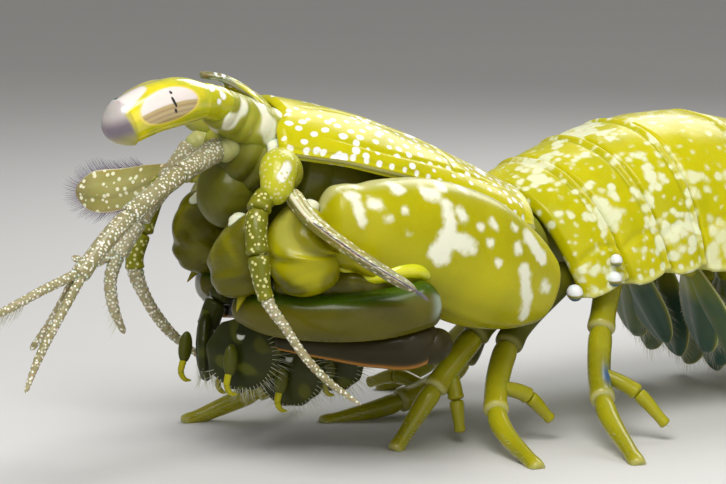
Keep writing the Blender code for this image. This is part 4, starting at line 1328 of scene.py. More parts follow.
@dataclass
class Studio:
    """Camera at the photograph's angle, pale floor and soft light.

    Attributes:
        azimuth: Turn of the view about the vertical.
        elevation: Height of the view over the horizon.
        stand: Place of the camera.
        lens: Focal length over the sensor's width.
        sensor: Width of the sensor.
        floor_radius: Radius of the floor.
        floor_tones: The two colours that drift through the floor.
        lamps: Name, place, size, power and colour of each lamp.
    """

    azimuth: float = math.radians(-33.0)
    elevation: float = math.radians(8.0)
    stand: tuple[float, float, float] = (-87.6, -145.2, 35.52)
    lens: float = 151.74
    sensor: float = 36.0
    floor_radius: float = 600.0
    floor_tones: tuple[Colour, Colour] = ((0.62, 0.62, 0.62), (0.66, 0.66, 0.65))
    lamps: tuple[tuple, ...] = (
        ("key", (-70.0, -60.0, 130.0), 90.0, 0.2, (1.0, 0.98, 0.95)),
        ("fill", (-40.0, -150.0, 50.0), 140.0, 0.055, (1.0, 0.99, 0.96)),
        ("rim", (90.0, 60.0, 110.0), 90.0, 0.12, (1.0, 1.0, 1.0)))

    def build(self) -> None:
        """Put up the camera, the floor, the lamps and the world."""
        self.camera()
        self.floor()
        for lamp in self.lamps:
            self.lamp(*lamp)
        self.world()

    def camera(self) -> None:
        """Camera where the photograph was taken from."""
        turn, rise = self.azimuth, self.elevation
        back = Vector((math.sin(turn) * math.cos(rise), -math.cos(turn) * math.cos(rise), math.sin(rise)))
        right = Vector((math.cos(turn), math.sin(turn), 0.0))
        view = Matrix((right, back.cross(right), back)).transposed().to_4x4()
        data = bpy.data.cameras.new("camera")
        data.lens = self.lens
        data.sensor_width = self.sensor
        data.clip_start = 0.01
        data.clip_end = 10.0
        camera = bpy.data.objects.new("camera", data)
        place = Vector((np.array(self.stand) - ORIGIN) * MM)
        camera.matrix_world = Matrix.Translation(place) @ view
        bpy.context.scene.collection.objects.link(camera)
        bpy.context.scene.camera = camera

    def floor(self) -> None:
        """Pale round floor under the model."""
        body = bmesh.new()
        bmesh.ops.create_circle(body, cap_ends=True, segments=96, radius=self.floor_radius * MM)
        mesh = bpy.data.meshes.new("studio_floor")
        body.to_mesh(mesh)
        body.free()
        floor = bpy.data.objects.new("studio_floor", mesh)
        bpy.context.scene.collection.objects.link(floor)
        material, bench, shader, place = new_material("studio_floor")
        tone = bench.put("ShaderNodeTexNoise", Vector=place, Scale=20.0, Detail=3.0)
        bench.feed(shader.inputs["Base Color"], bench.mix(tone.outputs[0], *self.floor_tones))
        shader.inputs["Roughness"].default_value = 0.8
        mesh.materials.append(material)

    @staticmethod
    def lamp(name: str, place: tuple[float, float, float], size: float, power: float,
             tint: Colour) -> None:
        """Soft square lamp aimed at the middle of the model.

        Args:
            name: Name of the lamp.
            place: Its place about the middle of the model, in millimetres.
            size: Its side in millimetres.
            power: Its power in watts.
            tint: Its colour.
        """
        data = bpy.data.lights.new(name, "AREA")
        data.size = size * MM
        data.energy = power
        data.color = tint
        lamp = bpy.data.objects.new(name, data)
        spot = Vector(place) * MM
        aim = (Vector((0.0, 0.0, 0.01)) - spot).to_track_quat("-Z", "Y")
        lamp.matrix_world = Matrix.Translation(spot) @ aim.to_matrix().to_4x4()
        bpy.context.scene.collection.objects.link(lamp)

    @staticmethod
    def world() -> None:
        """Even pale light from all round."""
        world = bpy.data.worlds.new("studio")
        world.use_nodes = True
        shade = world.node_tree.nodes["Background"]
        shade.inputs["Color"].default_value = (1.0, 0.985, 0.95, 1.0)
        shade.inputs["Strength"].default_value = 0.3
        bpy.context.scene.world = world
        bpy.context.scene.view_settings.view_transform = "Standard"


@dataclass
class Carapace:
    """Shield over the head and thorax, with the hinged rostral plate in front.

    Attributes:
        line: Middle line of the shield.
        width: Half width along it, by share.
        drop: Fall of the sides along it, by share.
        thick: Thickness of the shell.
        arc: Half angle of the arch.
        reach: How far the front corners stand forward.
        corner: Shares across where a corner starts and is full.
        length: Length of the flat map.
        rostrum: Share of the rostral plate's length and of its half width there.
        rostrum_length: How far the plate's spine stands forward.
        rostrum_rise: How far its tip lies over its root.
        rostrum_half: Half width of the plate.
        half_columns: Columns of the grid on each side of the middle.
        half_rows: Rows of the grid before and behind the middle.
    """

    line: Rows = ((0.0, 0.0, 20.0), (4.0, 0.0, 19.15), (8.0, 0.0, 17.8), (12.0, 0.0, 16.0),
                  (15.4, 0.0, 14.35))
    width: Rows = ((0.0, 4.3), (0.25, 5.8), (0.55, 6.5), (0.85, 6.8), (1.0, 6.5))
    drop: Rows = ((0.0, 3.0), (0.3, 2.9), (0.6, 2.7), (1.0, 2.4))
    thick: float = 0.75
    arc: float = math.radians(76)
    reach: float = 0.9
    corner: tuple[float, float] = (0.35, 0.75)
    length: float = 16.45
    rostrum: Rows = ((0.0, 0.86), (0.16, 1.0), (0.36, 0.92), (0.46, 0.5), (0.56, 0.22), (0.8, 0.15),
                     (1.0, 0.05))
    rostrum_length: float = 3.9
    rostrum_rise: float = 1.35
    rostrum_half: float = 2.3
    half_columns: int = 85
    half_rows: int = 75

    def bed(self, across: np.ndarray, along: np.ndarray) -> np.ndarray:
        """Points of the smooth arch at shares across (-1 to 1) and along (0 to 1).

        Args:
            across: Shares across.
            along: Shares along.

        Returns:
            Points of the arch.
        """
        flat = along.ravel()
        here = spline(self.line, flat)
        way = heading(self.line, flat, 0.02)
        up = np.stack((-way[:, 2], np.zeros(len(way)), way[:, 0]), axis=-1)
        angle = across.ravel() * self.arc
        half, drop = table(self.width, flat), table(self.drop, flat)
        y = half * np.sin(angle) / math.sin(self.arc)
        fall = drop * (1.0 - np.cos(angle)) / (1.0 - math.cos(self.arc))
        points = here - up * fall[:, None]
        points[:, 1] += y
        side = smooth(*self.corner, np.abs(across.ravel()))
        points -= way * (self.reach * side * (1.0 - flat) ** 3)[:, None]
        return points.reshape(*across.shape, 3)

    def carve(self, across: np.ndarray, along: np.ndarray) -> np.ndarray:
        """Height of the grooves and rims over the arch.

        Args:
            across: Shares across.
            along: Shares along.

        Returns:
            Height at each point.
        """
        side = np.abs(across)
        groove = 0.13 * hump(side, 0.3, 0.02) * smooth(0.06, 0.2, along) * smooth(1.0, 0.8, along)
        outer = 0.12 * hump(side, 0.7 + 0.08 * np.sin(along * 5.0), 0.022)
        outer = outer * smooth(0.1, 0.24, along) * smooth(0.95, 0.7, along)
        neck = 0.1 * hump(along - 0.05 * side, 0.6, 0.014) * smooth(0.85, 0.6, side)
        rim = 0.05 * smooth(0.95, 0.975, side) - 0.05 * hump(side, 0.94, 0.015)
        hind = 0.1 * hump(along, 0.975, 0.014) - 0.07 * hump(along, 0.94, 0.012)
        front = 0.08 * hump(along, 0.02, 0.012)
        return rim + hind + front - groove - outer - neck

    def build(self) -> None:
        """Make the shield and the rostral plate."""
        across, along = np.meshgrid(np.linspace(-1.0, 1.0, 2 * self.half_columns + 1),
                                    np.linspace(0.0, 1.0, 2 * self.half_rows + 1))
        points = self.bed(across, along)
        normals = grid_normals(points, closed=False)
        if normals[self.half_rows, self.half_columns, 2] < 0.0:
            normals = -normals
        swell = self.carve(across, along) + 0.03 * ripple(points, 3.4, 5)
        points = points + normals * swell[..., None]
        over = run_across(points)
        over -= over[:, self.half_columns, None]
        flat = np.stack((over, along * self.length), axis=-1)

        def keep(x: float, y: float) -> float:
            """Chance of a spot: few on the ridge in front."""
            return 0.45 if abs(x) < 2.0 and y < 6.0 else 0.9

        spots = spot_rows((-6.5, 0.4), (6.5, 16.2), 0.76, 0.19, 11, keep)
        rows = np.arange(0.5, 15.9, 0.78)
        brink = over[(rows / self.length * (len(over) - 1)).astype(int), -1] - 0.42
        border = np.concatenate([np.stack((turn * brink, rows, np.full(len(rows), 0.16)), axis=-1)
                                 for turn in (-1.0, 1.0)])
        spots = np.concatenate((spots, border))
        patches = strokes(flat[..., 0], flat[..., 1], PATCHES)
        mark = np.maximum(flat_depth(flat, spots), patches)
        mark = np.where(np.abs(across) > 0.975, UNMARKED, mark)
        pale = 0.7 * smooth(0.972, 0.99, np.abs(across)) + 0.3 * hump(along, 0.98, 0.015)
        deep = 0.55 * smooth(0.25, 0.0, np.abs(across)) + 0.25 * hump(np.abs(across), 0.3, 0.03)
        masks = {"mark": mark, "tint_a": np.clip(pale, 0.0, 1.0), "tint_b": deep}
        mould = Mould("carapace_shield", SHELL.material())
        mould.add(plate(points, flat, self.thick, 1.1, masks))
        settle(mould.cast(), "shell", "carapace")
        self.plate_and_spine()

    def plate_and_spine(self) -> None:
        """The rostral plate: a clear-edged shield drawn out in a slender spine."""
        steps = np.linspace(0.0, 1.0, 90) ** 0.85
        across, along = np.meshgrid(np.linspace(-1.0, 1.0, 61), steps)
        rear = np.array((-0.35, 0.0, 20.0))
        tip = np.array((-self.rostrum_length, 0.0, 20.0 + self.rostrum_rise))
        wide = table(self.rostrum, along)
        points = rear + (tip - rear) * along[..., None]
        points[..., 2] += 0.3 * np.sin(np.pi * along) - 0.95 * wide * across**2
        points[..., 1] += self.rostrum_half * wide * across
        points[..., 2] += 0.12 * hump(across, 0.0, 0.14) * smooth(0.02, 0.2, along)
        points[..., 2] += 0.06 * hump(np.abs(across), 0.86, 0.06) * smooth(0.5, 0.3, along)
        flat = np.stack((across * wide * 2.3, along * self.rostrum_length), axis=-1)
        body = smooth(0.54, 0.38, along) * smooth(1.02, 0.88, np.abs(across))
        spots = np.array(((0.0, 0.62, 0.18), (-0.3, 1.3, 0.16), (0.4, 1.5, 0.16), (-1.1, 0.7, 0.16),
                          (1.1, 0.75, 0.16), (0.0, 2.35, 0.14), (0.0, 2.9, 0.12), (-1.5, 1.2, 0.15),
                          (1.5, 1.2, 0.15)))
        masks = {"mark": flat_depth(flat, spots), "tint_a": body,
                 "tint_b": 0.45 * smooth(0.86, 0.97, across**2)}
        mould = Mould("rostral_shield", HORN.material())
        mould.add(plate(points, flat, 0.34, 0.3, masks))
        settle(mould.cast(), "rostral", "rostral_plate")


# Bigger pale patches of the carapace on its flat map: two ends and a radius for each.
PATCHES: Rows = (
    (-3.0, 8.2, 0.3, -2.2, 9.0, 0.24), (2.8, 7.4, 0.3, 2.1, 8.3, 0.22),
    (-1.6, 11.4, 0.34, -0.8, 12.0, 0.26), (-4.4, 12.9, 0.36, -3.4, 13.3, 0.28),
    (1.7, 12.2, 0.34, 2.5, 12.9, 0.26), (4.6, 11.0, 0.34, 5.2, 12.0, 0.24),
    (-3.0, 5.2, 0.24, -2.5, 5.6, 0.2), (3.4, 14.3, 0.32, 4.2, 14.8, 0.24),
    (-1.2, 14.8, 0.3, -0.3, 15.0, 0.24),
)


@dataclass
class Trunk:
    """Head, mouthparts and the body under the carapace, with their soft skins.

    Attributes:
        core: Route of the body under the carapace.
        sleeves: Route of the wrinkled skin round each eyestalk.
        brow: Centre, radii and aim of the lump between the antennules, washed dark as painted shade.
        head: Route of the head.
        mouth: Route of the lips and jaws.
        lobes: Centre, radii, aim and paleness of the folds round the roots of the feelers.
    """

    core: Rows = ((0.4, 0, 15.2, 3.3, 3.2), (4.0, 0, 13.9, 4.1, 3.8), (8.0, 0, 12.6, 4.4, 3.7),
                  (12.0, 0, 11.2, 4.5, 3.4), (15.0, 0, 10.1, 4.6, 3.1), (17.0, 0, 10.5, 4.6, 2.9))
    sleeves: tuple[Rows, ...] = (
        ((-4.4, -2.3, 19.8, 1.02, 1.02), (-2.8, -1.7, 19.0, 1.3, 1.3), (-1.0, -1.4, 18.2, 1.75, 1.35),
         (0.5, -1.2, 17.6, 1.9, 1.4)),
        ((-2.8, 3.7, 19.45, 1.0, 1.0), (-2.3, 1.9, 18.8, 1.25, 1.25), (-1.0, 1.3, 18.2, 1.7, 1.35),
         (0.5, 1.1, 17.6, 1.9, 1.4)))
    brow: tuple = ((-2.4, -0.4, 14.8), (2.1, 1.8, 1.8), (-0.25, 0.0, -1.0))
    head: Rows = ((0.1, 0, 15.9, 3.0, 2.8), (-1.6, 0, 16.8, 2.8, 2.3), (-3.3, 0, 17.6, 2.2, 1.6))
    mouth: Rows = ((-0.6, 0, 12.7, 2.0, 1.2), (0.4, 0, 10.4, 2.3, 1.6), (1.6, 0, 9.0, 1.6, 1.1))
    lobes: tuple[tuple, ...] = (((-0.7, 3.1, 17.2), (1.0, 0.45, 0.8), (-0.3, 0.4, -0.8), 0.9),
                                ((-3.1, 1.5, 17.3), (0.9, 0.75, 0.75), (-0.9, 0.3, -0.3), 0.2))

    def build(self) -> None:
        """Make the three parts of the trunk."""
        skin = MEMBRANE.material()
        core = Limb(self.core, 150, 120, (0.4, 0.4), 2.5, relief=folds(0.12, 1.9, 3)).surface()
        # Darker underneath: painted shade on the thorax skin.
        core.masks["tint_b"] = 0.93 * smooth(0.7, -0.1, np.sin(core.masks["around"]))
        settle(Mould("thorax_skin", skin).add(core).cast(), "membrane", "thorax_front")
        head = Limb(self.head, 80, 100, (0.4, 1.1), 2.5, relief=folds(0.14, 1.1, 8)).surface()
        # Darker underneath: painted shade on the head skin.
        head.masks["tint_b"] = 0.9 * smooth(0.5, -0.3, np.sin(head.masks["around"]))
        mould = Mould("head_skin", skin).add(head)
        brow = knob(*self.brow, 44, 50, folds(0.05, 1.2, 6)).surface()
        # The brow is washed dark: painted shade that closes the gap below the antennules.
        mould.add(brow.wash("tint_b", 0.8))
        for rows in self.sleeves:
            sleeve = Limb(rows, 80, 80, (0.3, 0.4), 2.2, relief=folds(0.075, 0.85, 4)).surface()
            sleeve.masks["tint_a"] = 0.85 * smooth(0.15, 0.6, ripple(sleeve.points, 1.7, 44))
            mould.add(sleeve)
        for turn in (-1.0, 1.0):
            for centre, radii, aim, tint in self.lobes:
                lobe = knob((centre[0], centre[1] * turn, centre[2]), radii,
                            (aim[0], aim[1] * turn, aim[2]), 40, 44, folds(0.06, 0.6, 4)).surface()
                mould.add(lobe.wash("tint_a", tint))
        settle(mould.cast(), "membrane", "head")
        self.mouthparts()

    def mouthparts(self) -> None:
        """Upper lip, jaws and their palps."""
        mould = Mould("mouth_parts", MOUTH.material())
        mould.add(Limb(self.mouth, 60, 60, (1.0, 1.0), 2.3, up=(1.0, 0.0, 0.0),
                       relief=folds(0.1, 1.3, 12)).surface())
        mould.limbs(knob((-1.3, 0.0, 12.6), (1.0, 1.2, 0.7), (-0.4, 0.0, -1.0), 40, 44))
        for turn in (-1.0, 1.0):
            mould.limbs(knob((-1.0, 1.1 * turn, 11.4), (1.1, 0.7, 0.6), (-0.3, -0.3 * turn, -1.0), 34, 36),
                        knob((-0.7, 1.4 * turn, 10.2), (1.0, 0.55, 0.5), (-0.5, -0.5 * turn, -0.8), 34, 36))
            palp = ((-0.4, 1.9 * turn, 11.6, 0.3, 0.35), (-1.4, 2.0 * turn, 10.9, 0.26, 0.3),
                    (-1.8, 1.7 * turn, 9.8, 0.16, 0.2))
            mould.limbs(*jointed(palp, (0.45, 0.75), 0.05, 24, 24))
        settle(mould.cast(), "mouth", "mouthparts")


@dataclass
class Abdomen:
    """Free thorax and abdomen: overlapping rings of shell over a soft belly.

    Attributes:
        back: Middle line of the back.
        somites: Name, length, half width and depth of each ring.
        thick: Thickness of the shell.
        power: Squareness of the arch.
        lap: How far a ring reaches under the one before it.
        ridges: Distance from the middle and height of the sixth ring's ridges.
        total: Length of the back, measured when the object is made.
    """

    back: Rows = ((15.7, 0, 14.1), (20.0, 0, 15.8), (24.5, 0, 17.1), (29.0, 0, 17.5), (34.5, 0, 16.5),
                  (41.0, 0, 13.9), (47.5, 0, 10.7), (53.0, 0, 7.9), (57.6, 0, 5.5))
    somites: tuple[tuple, ...] = (
        ("thorax_6", 3.0, 6.2, 7.2), ("thorax_7", 3.1, 6.6, 7.8), ("thorax_8", 3.3, 6.9, 8.3),
        ("abdomen_1", 5.5, 7.3, 8.8), ("abdomen_2", 5.8, 7.5, 9.0), ("abdomen_3", 6.0, 7.6, 8.8),
        ("abdomen_4", 6.1, 7.6, 8.4), ("abdomen_5", 6.4, 7.5, 7.6), ("abdomen_6", 4.4, 6.9, 5.9),
    )
    thick: float = 0.55
    power: float = 2.35
    lap: float = 0.75
    ridges: Rows = ((1.3, 0.34), (3.2, 0.32), (4.9, 0.28))
    total: float = 0.0

    def __post_init__(self) -> None:
        """Measure the back."""
        route = spline(self.back, np.linspace(0.0, 1.0, 240))
        self.total = float(np.linalg.norm(np.diff(route, axis=0), axis=1).sum())

    def spans(self) -> list[tuple[str, float, float, float, float]]:
        """Name, first and last distance along the back, half width and depth of each ring.

        Returns:
            One row for each ring.
        """
        grow = self.total / sum(row[1] for row in self.somites)
        start, found = 0.0, []
        for name, length, half, depth in self.somites:
            found.append((name, start, start + length * grow, half, depth))
            start += length * grow
        return found

    def stand(self, distance: np.ndarray) -> tuple[np.ndarray, np.ndarray, np.ndarray]:
        """Points, directions and upward normals of the back at distances along it.

        Args:
            distance: Distances along the back.

        Returns:
            Points, directions and normals.
        """
        share = np.atleast_1d(np.asarray(distance, dtype=float)) / self.total
        over = np.clip(share, 0.0, 1.0)
        here = spline(self.back, over)
        along = heading(self.back, over)
        here = here + along * ((share - over) * self.total)[:, None]
        return here, along, np.stack((-along[:, 2], np.zeros(len(along)), along[:, 0]), axis=-1)

    def arch(self, half: float, depth: float, count: int) -> tuple[np.ndarray, np.ndarray]:
        """Even points of the arch, as across and fall shares, and the distance along it.

        Args:
            half: Half width of the ring.
            depth: Its depth.
            count: Points over the arch.

        Returns:
            The shares and the distance from the middle at each point.
        """
        angle = np.linspace(0.0, np.pi, 900)
        across, rise = squared(angle, self.power)
        fall = 1.0 - np.abs(rise)
        pace = np.concatenate(([0.0], np.cumsum(np.hypot(np.diff(across) * half, np.diff(fall) * depth))))
        even = np.linspace(0.0, pace[-1], count)
        both = np.stack((np.interp(even, pace, across), np.interp(even, pace, fall)), axis=-1)
        return both, even - pace[-1] / 2.0

    def ring(self, number: int, name: str, start: float, end: float, half: float, depth: float) -> Surface:
        """One ring of shell: its arch, side plates, grooves, rims and spots.

        Args:
            number: Place in the row of rings.
            name: Name of the ring.
            start: Front end along the back.
            end: Hind end along the back.
            half: Half width.
            depth: Depth.

        Returns:
            The ring.
        """
        length = end - start
        rows = int(length / 0.11) + 14
        lap = self.lap if number else 0.2
        place = np.linspace(-lap, length + 0.1, rows)
        share = place / length
        columns = 190
        shape, over = self.arch(half, depth, columns)
        wide = half * (0.955 + 0.05 * smooth(-0.1, 0.5, share))
        hang = depth * (0.93 + 0.07 * np.sqrt(np.clip(1.0 - ((share - 0.5) / 0.62) ** 2, 0.0, 1.0)))
        point, _, up = self.stand(start + place)
        low = np.clip((shape[:, 1] - 0.55) / 0.45, 0.0, 1.0)
        fall = shape[:, 1][None] * depth + (hang - depth)[:, None] * low[None] ** 2
        points = point[:, None] - up[:, None] * fall[..., None]
        points[..., 1] += wide[:, None] * shape[:, 0][None]
        normals = grid_normals(points, closed=False)
        if normals[rows // 2, columns // 2, 2] < 0.0:
            normals = -normals
        share2, over2 = np.meshgrid(share, over, indexing="ij")
        place2 = share2 * length
        tall = np.abs(over2) / over.max()
        lift = -0.5 * smooth(0.35, -0.25, place2) + 0.12 * hump(place2, length - 0.18, 0.13)
        lift -= 0.1 * hump(place2, length - 0.52, 0.12)
        lift -= 0.1 * hump(tall, 0.8 - 0.05 * np.sin(share2 * np.pi), 0.022) * smooth(-0.1, 0.15, share2)
        lift += 0.1 * smooth(0.965, 0.985, tall) + 0.05 * ripple(points, 4.2, 20 + number)
        if name == "abdomen_6":
            lift += self.keel(points, share2)
        points = points + normals * lift[..., None]
        edge = np.array([(over.max() * turn * 0.955, length * part, 0.2)
                         for turn in (-1.0, 1.0) for part in (0.2, 0.5, 0.8)])
        flat = np.stack((over2, place2), axis=-1)
        masks = {"mark": flat_depth(flat, edge),
                 "tint_a": (0.7 * smooth(0.95, 0.98, tall)
                            + 0.35 * smooth(length - 0.24, length - 0.1, place2)),
                 "tint_b": 0.6 * smooth(0.05, -0.3, place2) + 0.35 * hump(place2, length - 0.5, 0.14)}
        return plate(points, flat, self.thick, 0.3, masks)

    def keel(self, points: np.ndarray, share: np.ndarray) -> np.ndarray:
        """Height of the sixth ring's ridges.

        Args:
            points: Points of the ring.
            share: Their shares of its length.

        Returns:
            Height at each point.
        """
        height = np.zeros(share.shape)
        for y, rise in self.ridges:
            height += rise * hump(np.abs(points[..., 1]), y, 0.34)
        return height * smooth(0.1, 0.35, share)

    def belly(self) -> Surface:
        """Soft underside that all the rings share.

        Returns:
            The belly.
        """
        rows = []
        for _, start, end, half, depth in self.spans():
            for share in (0.05, 0.5):
                point, _, up = self.stand(start + (end - start) * share)
                seat = point[0] - up[0] * depth * 0.52
                rows.append((*seat, half * 0.78, depth * 0.33))
        point, along, up = self.stand(self.total - 0.5)
        rows.append((*(point[0] - up[0] * 2.9), 5.2, 1.9))
        waves = folds(0.14, 1.2, 31)

        def sternite(along: np.ndarray, around: np.ndarray) -> np.ndarray:
            """Creases with a firmer band under each ring."""
            return waves(along, around) + 0.16 * np.abs(np.sin(along * np.pi / 5.6))

        skin = Limb(tuple(rows), 250, 90, (0.6, 0.6), 2.6, relief=sternite).surface()
        skin.masks["tint_a"] = 0.35 * smooth(0.2, -0.8, np.sin(skin.masks["around"]))
        return skin

    def build(self) -> None:
        """Make every ring and the belly."""
        for number, (name, start, end, half, depth) in enumerate(self.spans()):
            finish = SPECKLED if name.startswith("thorax") else BLOTCHED
            mould = Mould(f"{name}_ring", finish.material())
            mould.add(self.ring(number, name, start, end, half, depth))
            if name == "abdomen_6":
                mould.limbs(*self.spines(start, end, half))
            settle(mould.cast(), "shell", name)
        settle(Mould("belly_skin", MEMBRANE.material()).add(self.belly()).cast(), "membrane")

    def spines(self, start: float, end: float, half: float) -> list[Limb]:
        """Short spines at the hind end of the sixth ring's ridges.

        Args:
            start: Front end along the back.
            end: Hind end along the back.
            half: Half width.

        Returns:
            The spines.
        """
        found = []
        point, along, up = self.stand(end - 0.35)
        for y, _ in self.ridges:
            fall = 0.5 * half * (1.0 - math.sqrt(1.0 - (y / half) ** 2))
            for turn in (-1.0, 1.0):
                root = point[0] + (0.0, y * turn, 0.0) - up[0] * (fall - 0.05) - along[0] * 0.5
                found.append(spike(tuple(root), tuple(root + along[0] * 1.75), 0.36, 0.06))
        return found


@dataclass
class TailFan:
    """Telson with its ridges and teeth, and the two side fans.

    Attributes:
        root: Front of the telson's back.
        drop: Slope of the telson.
        length: Length of the shield.
        half: Half width.
        outline: Share of the length, of the half width, and the thickness there.
        ridges: Distance from the middle, first and last share, height and half width of each ridge.
        teeth: Distance from the middle, place of the root and length of each tooth.
        base: Route of a side fan's base.
        outer: Route of its outer blade.
        inner: Route of its inner blade.
        spines: Spines along the outer blade.
        power: Squareness of the shield's section.
        denticles: Small teeth on each side of the shield's hind edge.
    """

    root: tuple[float, float, float] = (57.6, 0.0, 5.3)
    drop: float = math.radians(28.5)
    length: float = 9.3
    half: float = 5.3
    outline: Rows = ((0.0, 0.86, 2.8), (0.15, 0.98, 3.0), (0.4, 1.0, 2.7), (0.7, 0.9, 2.0), (0.9, 0.7, 1.3),
                     (1.0, 0.55, 0.8))
    ridges: Rows = ((0.0, 0.12, 0.9, 0.62, 0.42), (1.9, 0.2, 0.88, 0.42, 0.34), (3.6, 0.26, 0.86, 0.4, 0.3))
    teeth: Rows = ((1.45, 7.9, 3.0), (3.3, 7.0, 2.9), (4.5, 6.0, 2.4))
    base: Rows = ((56.0, -5.0, 3.2, 0.9, 0.9), (59.2, -6.7, 1.9, 1.0, 0.8))
    outer: Rows = ((58.8, -6.9, 1.9, 0.5, 0.5), (61.2, -8.2, 1.5, 0.5, 1.15), (63.6, -9.4, 1.2, 0.45, 1.35),
                   (65.4, -10.3, 0.95, 0.4, 1.2), (66.8, -11.0, 0.8, 0.3, 0.6))
    inner: Rows = ((58.8, -6.4, 1.6, 0.45, 0.5), (61.4, -6.7, 1.3, 0.4, 1.0), (63.8, -7.0, 1.0, 0.36, 1.0),
                   (65.6, -7.3, 0.8, 0.3, 0.5))
    spines: int = 9
    power: float = 2.2
    denticles: int = 7

    def axes(self) -> tuple[np.ndarray, np.ndarray, np.ndarray]:
        """Root, direction and upward normal of the telson."""
        way = np.array((math.cos(self.drop), 0.0, -math.sin(self.drop)))
        return np.array(self.root), way, np.array((-way[2], 0.0, way[0]))

    def seat(self, along: float, across: float, sink: float) -> np.ndarray:
        """Point along the telson and across it, sunk below its back."""
        root, way, up = self.axes()
        return root + way * along + np.array((0.0, across, 0.0)) - up * sink

    def shield(self) -> Surface:
        """The telson's body with rounded ridges on its back.

        Returns:
            The body.
        """
        root, way, up = self.axes()
        rings, sides, girth = 130, 220, 3.2
        share = np.linspace(0.0, 1.0, rings)
        angle = np.linspace(0.0, 2.0 * np.pi, sides, endpoint=False)
        wide = self.half * table(self.outline, share, 1)
        thick = table(self.outline, share, 2)
        close = np.sqrt(np.clip(1.0 - np.clip((share - 0.975) / 0.025, 0.0, 1.0) ** 2, 0.02, 1.0))
        close *= np.sqrt(np.clip(1.0 - np.clip((0.03 - share) / 0.03, 0.0, 1.0) ** 2, 0.2, 1.0))
        across, rise = squared(angle, self.power)
        y = (wide * close)[:, None] * across
        z = (thick * 0.5 * close)[:, None] * rise
        top = smooth(0.15, 0.5, rise)[None]
        ridge = np.zeros_like(y)
        for place, first, last, height, half in self.ridges:
            here = place * (1.0 - 0.25 * share)
            swell = smooth(first - 0.06, first + 0.14, share) * smooth(last + 0.05, last - 0.1, share)
            ridge += (height * swell)[:, None] * np.exp(-((np.abs(y) - here[:, None]) / half) ** 2)
        down = np.repeat(share[:, None] * self.length, sides, axis=1)
        pits = 0.05 * ripple(np.stack((y, z, down), -1), 1.1, 6)
        z = z + (ridge + pits) * top
        centre = root + way * (share * self.length)[:, None] - up * (thick * 0.5 + 0.1)[:, None]
        points = centre[:, None] + up * z[..., None]
        points[..., 1] += y
        flat = np.stack((np.repeat(angle[None] * girth, rings, axis=0), down), -1)
        edge = 0.6 * smooth(0.9, 1.0, np.abs(across))[None] * np.ones_like(y)
        return Surface(points, flat, Cap.FAN, {"tint_b": 0.5 * ridge * top, "tint_a": edge})

    def telson(self) -> None:
        """Shield and marginal teeth."""
        mould = Mould("telson_shield", BLOTCHED.material(), HORN.material())
        mould.add(self.shield())
        for y, start, reach in self.teeth:
            for turn in (-1.0, 1.0):
                root = self.seat(start, y * turn * 0.94, 0.75)
                tip = self.seat(start + reach, y * turn * 1.04, 0.85)
                mould.limbs(spike(tuple(root), tuple(tip), 0.62, 0.02, 22), slot=0)
        for turn in (-1.0, 1.0):
            for step in range(self.denticles):
                y = (0.25 + step * 0.18) * turn
                root = self.seat(9.0, y, 0.62)
                mould.limbs(spike(tuple(root), tuple(root + self.axes()[1] * 0.6), 0.07, 0.0, 8), slot=1)
        settle(mould.cast(), "shell", "telson")

    def fan(self, side: Side) -> None:
        """Base, spines, outer blade in two articles, and inner blade of one side.

        Args:
            side: The side.
        """
        mould = Mould(side.name_of("uropod_fan"), SWIMMER.material(), HORN.material(), BLOTCHED.material())
        first, last = stretch(self.outer, 0.0, 0.66), stretch(self.outer, 0.65, 1.0)
        limbs = [(Limb(self.base, 40, 44, (0.4, 0.6)), 2)]
        for rows, stations, ends, slot in ((first, 60, (0.2, 0.3), 2), (last, 60, (0.3, 1.0), 0),
                                           (self.inner, 80, (0.3, 1.0), 0)):
            limbs.append((Limb(rows, stations, 60, ends, up=(0.0, 1.0, 0.0), relief=self.rib), slot))
        samples = spline(self.outer, np.linspace(0.16, 0.64, self.spines))
        for sample, reach in zip(samples, np.linspace(0.75, 1.45, self.spines)):
            edge = sample[:3] + (0.25, -sample[4] * 0.7, 0.0)
            point = edge + np.array((0.75, -0.65, -0.05)) * reach
            limbs.append((spike(tuple(edge), tuple(point), 0.22, 0.04, 12), 1))
        for reach, inwards in ((3.6, 0.55), (2.6, -0.15)):
            root = np.array(self.base[-1][:3]) + (-0.4, inwards, -0.2)
            limbs.append((spike(tuple(root), tuple(root + (reach, -0.1, -0.55)), 0.45, 0.05, 20), 2))
        for limb, slot in limbs:
            surface = limb.surface()
            if slot != 1:
                surface.masks["tint_b"] = 0.75 * smooth(0.3, 1.0, surface.masks["along"] / 5.0)
            mould.add(placed(surface, side), slot)
        settle(mould.cast(), "swimmeret", side.name_of("uropod"))
        fringes = []
        for rows, start in ((last, 0.05), (self.inner, 0.3)):
            line, aims = Limb(rows, 60, 24, (0.3, 1.0), up=(0.0, 1.0, 0.0)).rim(start, 40)
            fringes.append((line * side.flip, aims * side.flip))
        hairs = HairRow(0.07, 1.35, 0.028, 0.2, 0.1, 41).grow(
            side.name_of("uropod_fringe"), fringes, BLUE_HAIR.material())
        settle(hairs, "swimmeret")

    @staticmethod
    def rib(along: np.ndarray, around: np.ndarray) -> np.ndarray:
        """Middle rib of a blade, on both faces."""
        return 0.1 * np.exp(-(np.cos(around) ** 2 - 1.0) ** 2 / 0.01) * smooth(0.0, 0.6, along)

    def build(self) -> None:
        """Make the whole fan."""
        self.telson()
        for side in Side:
            self.fan(side)


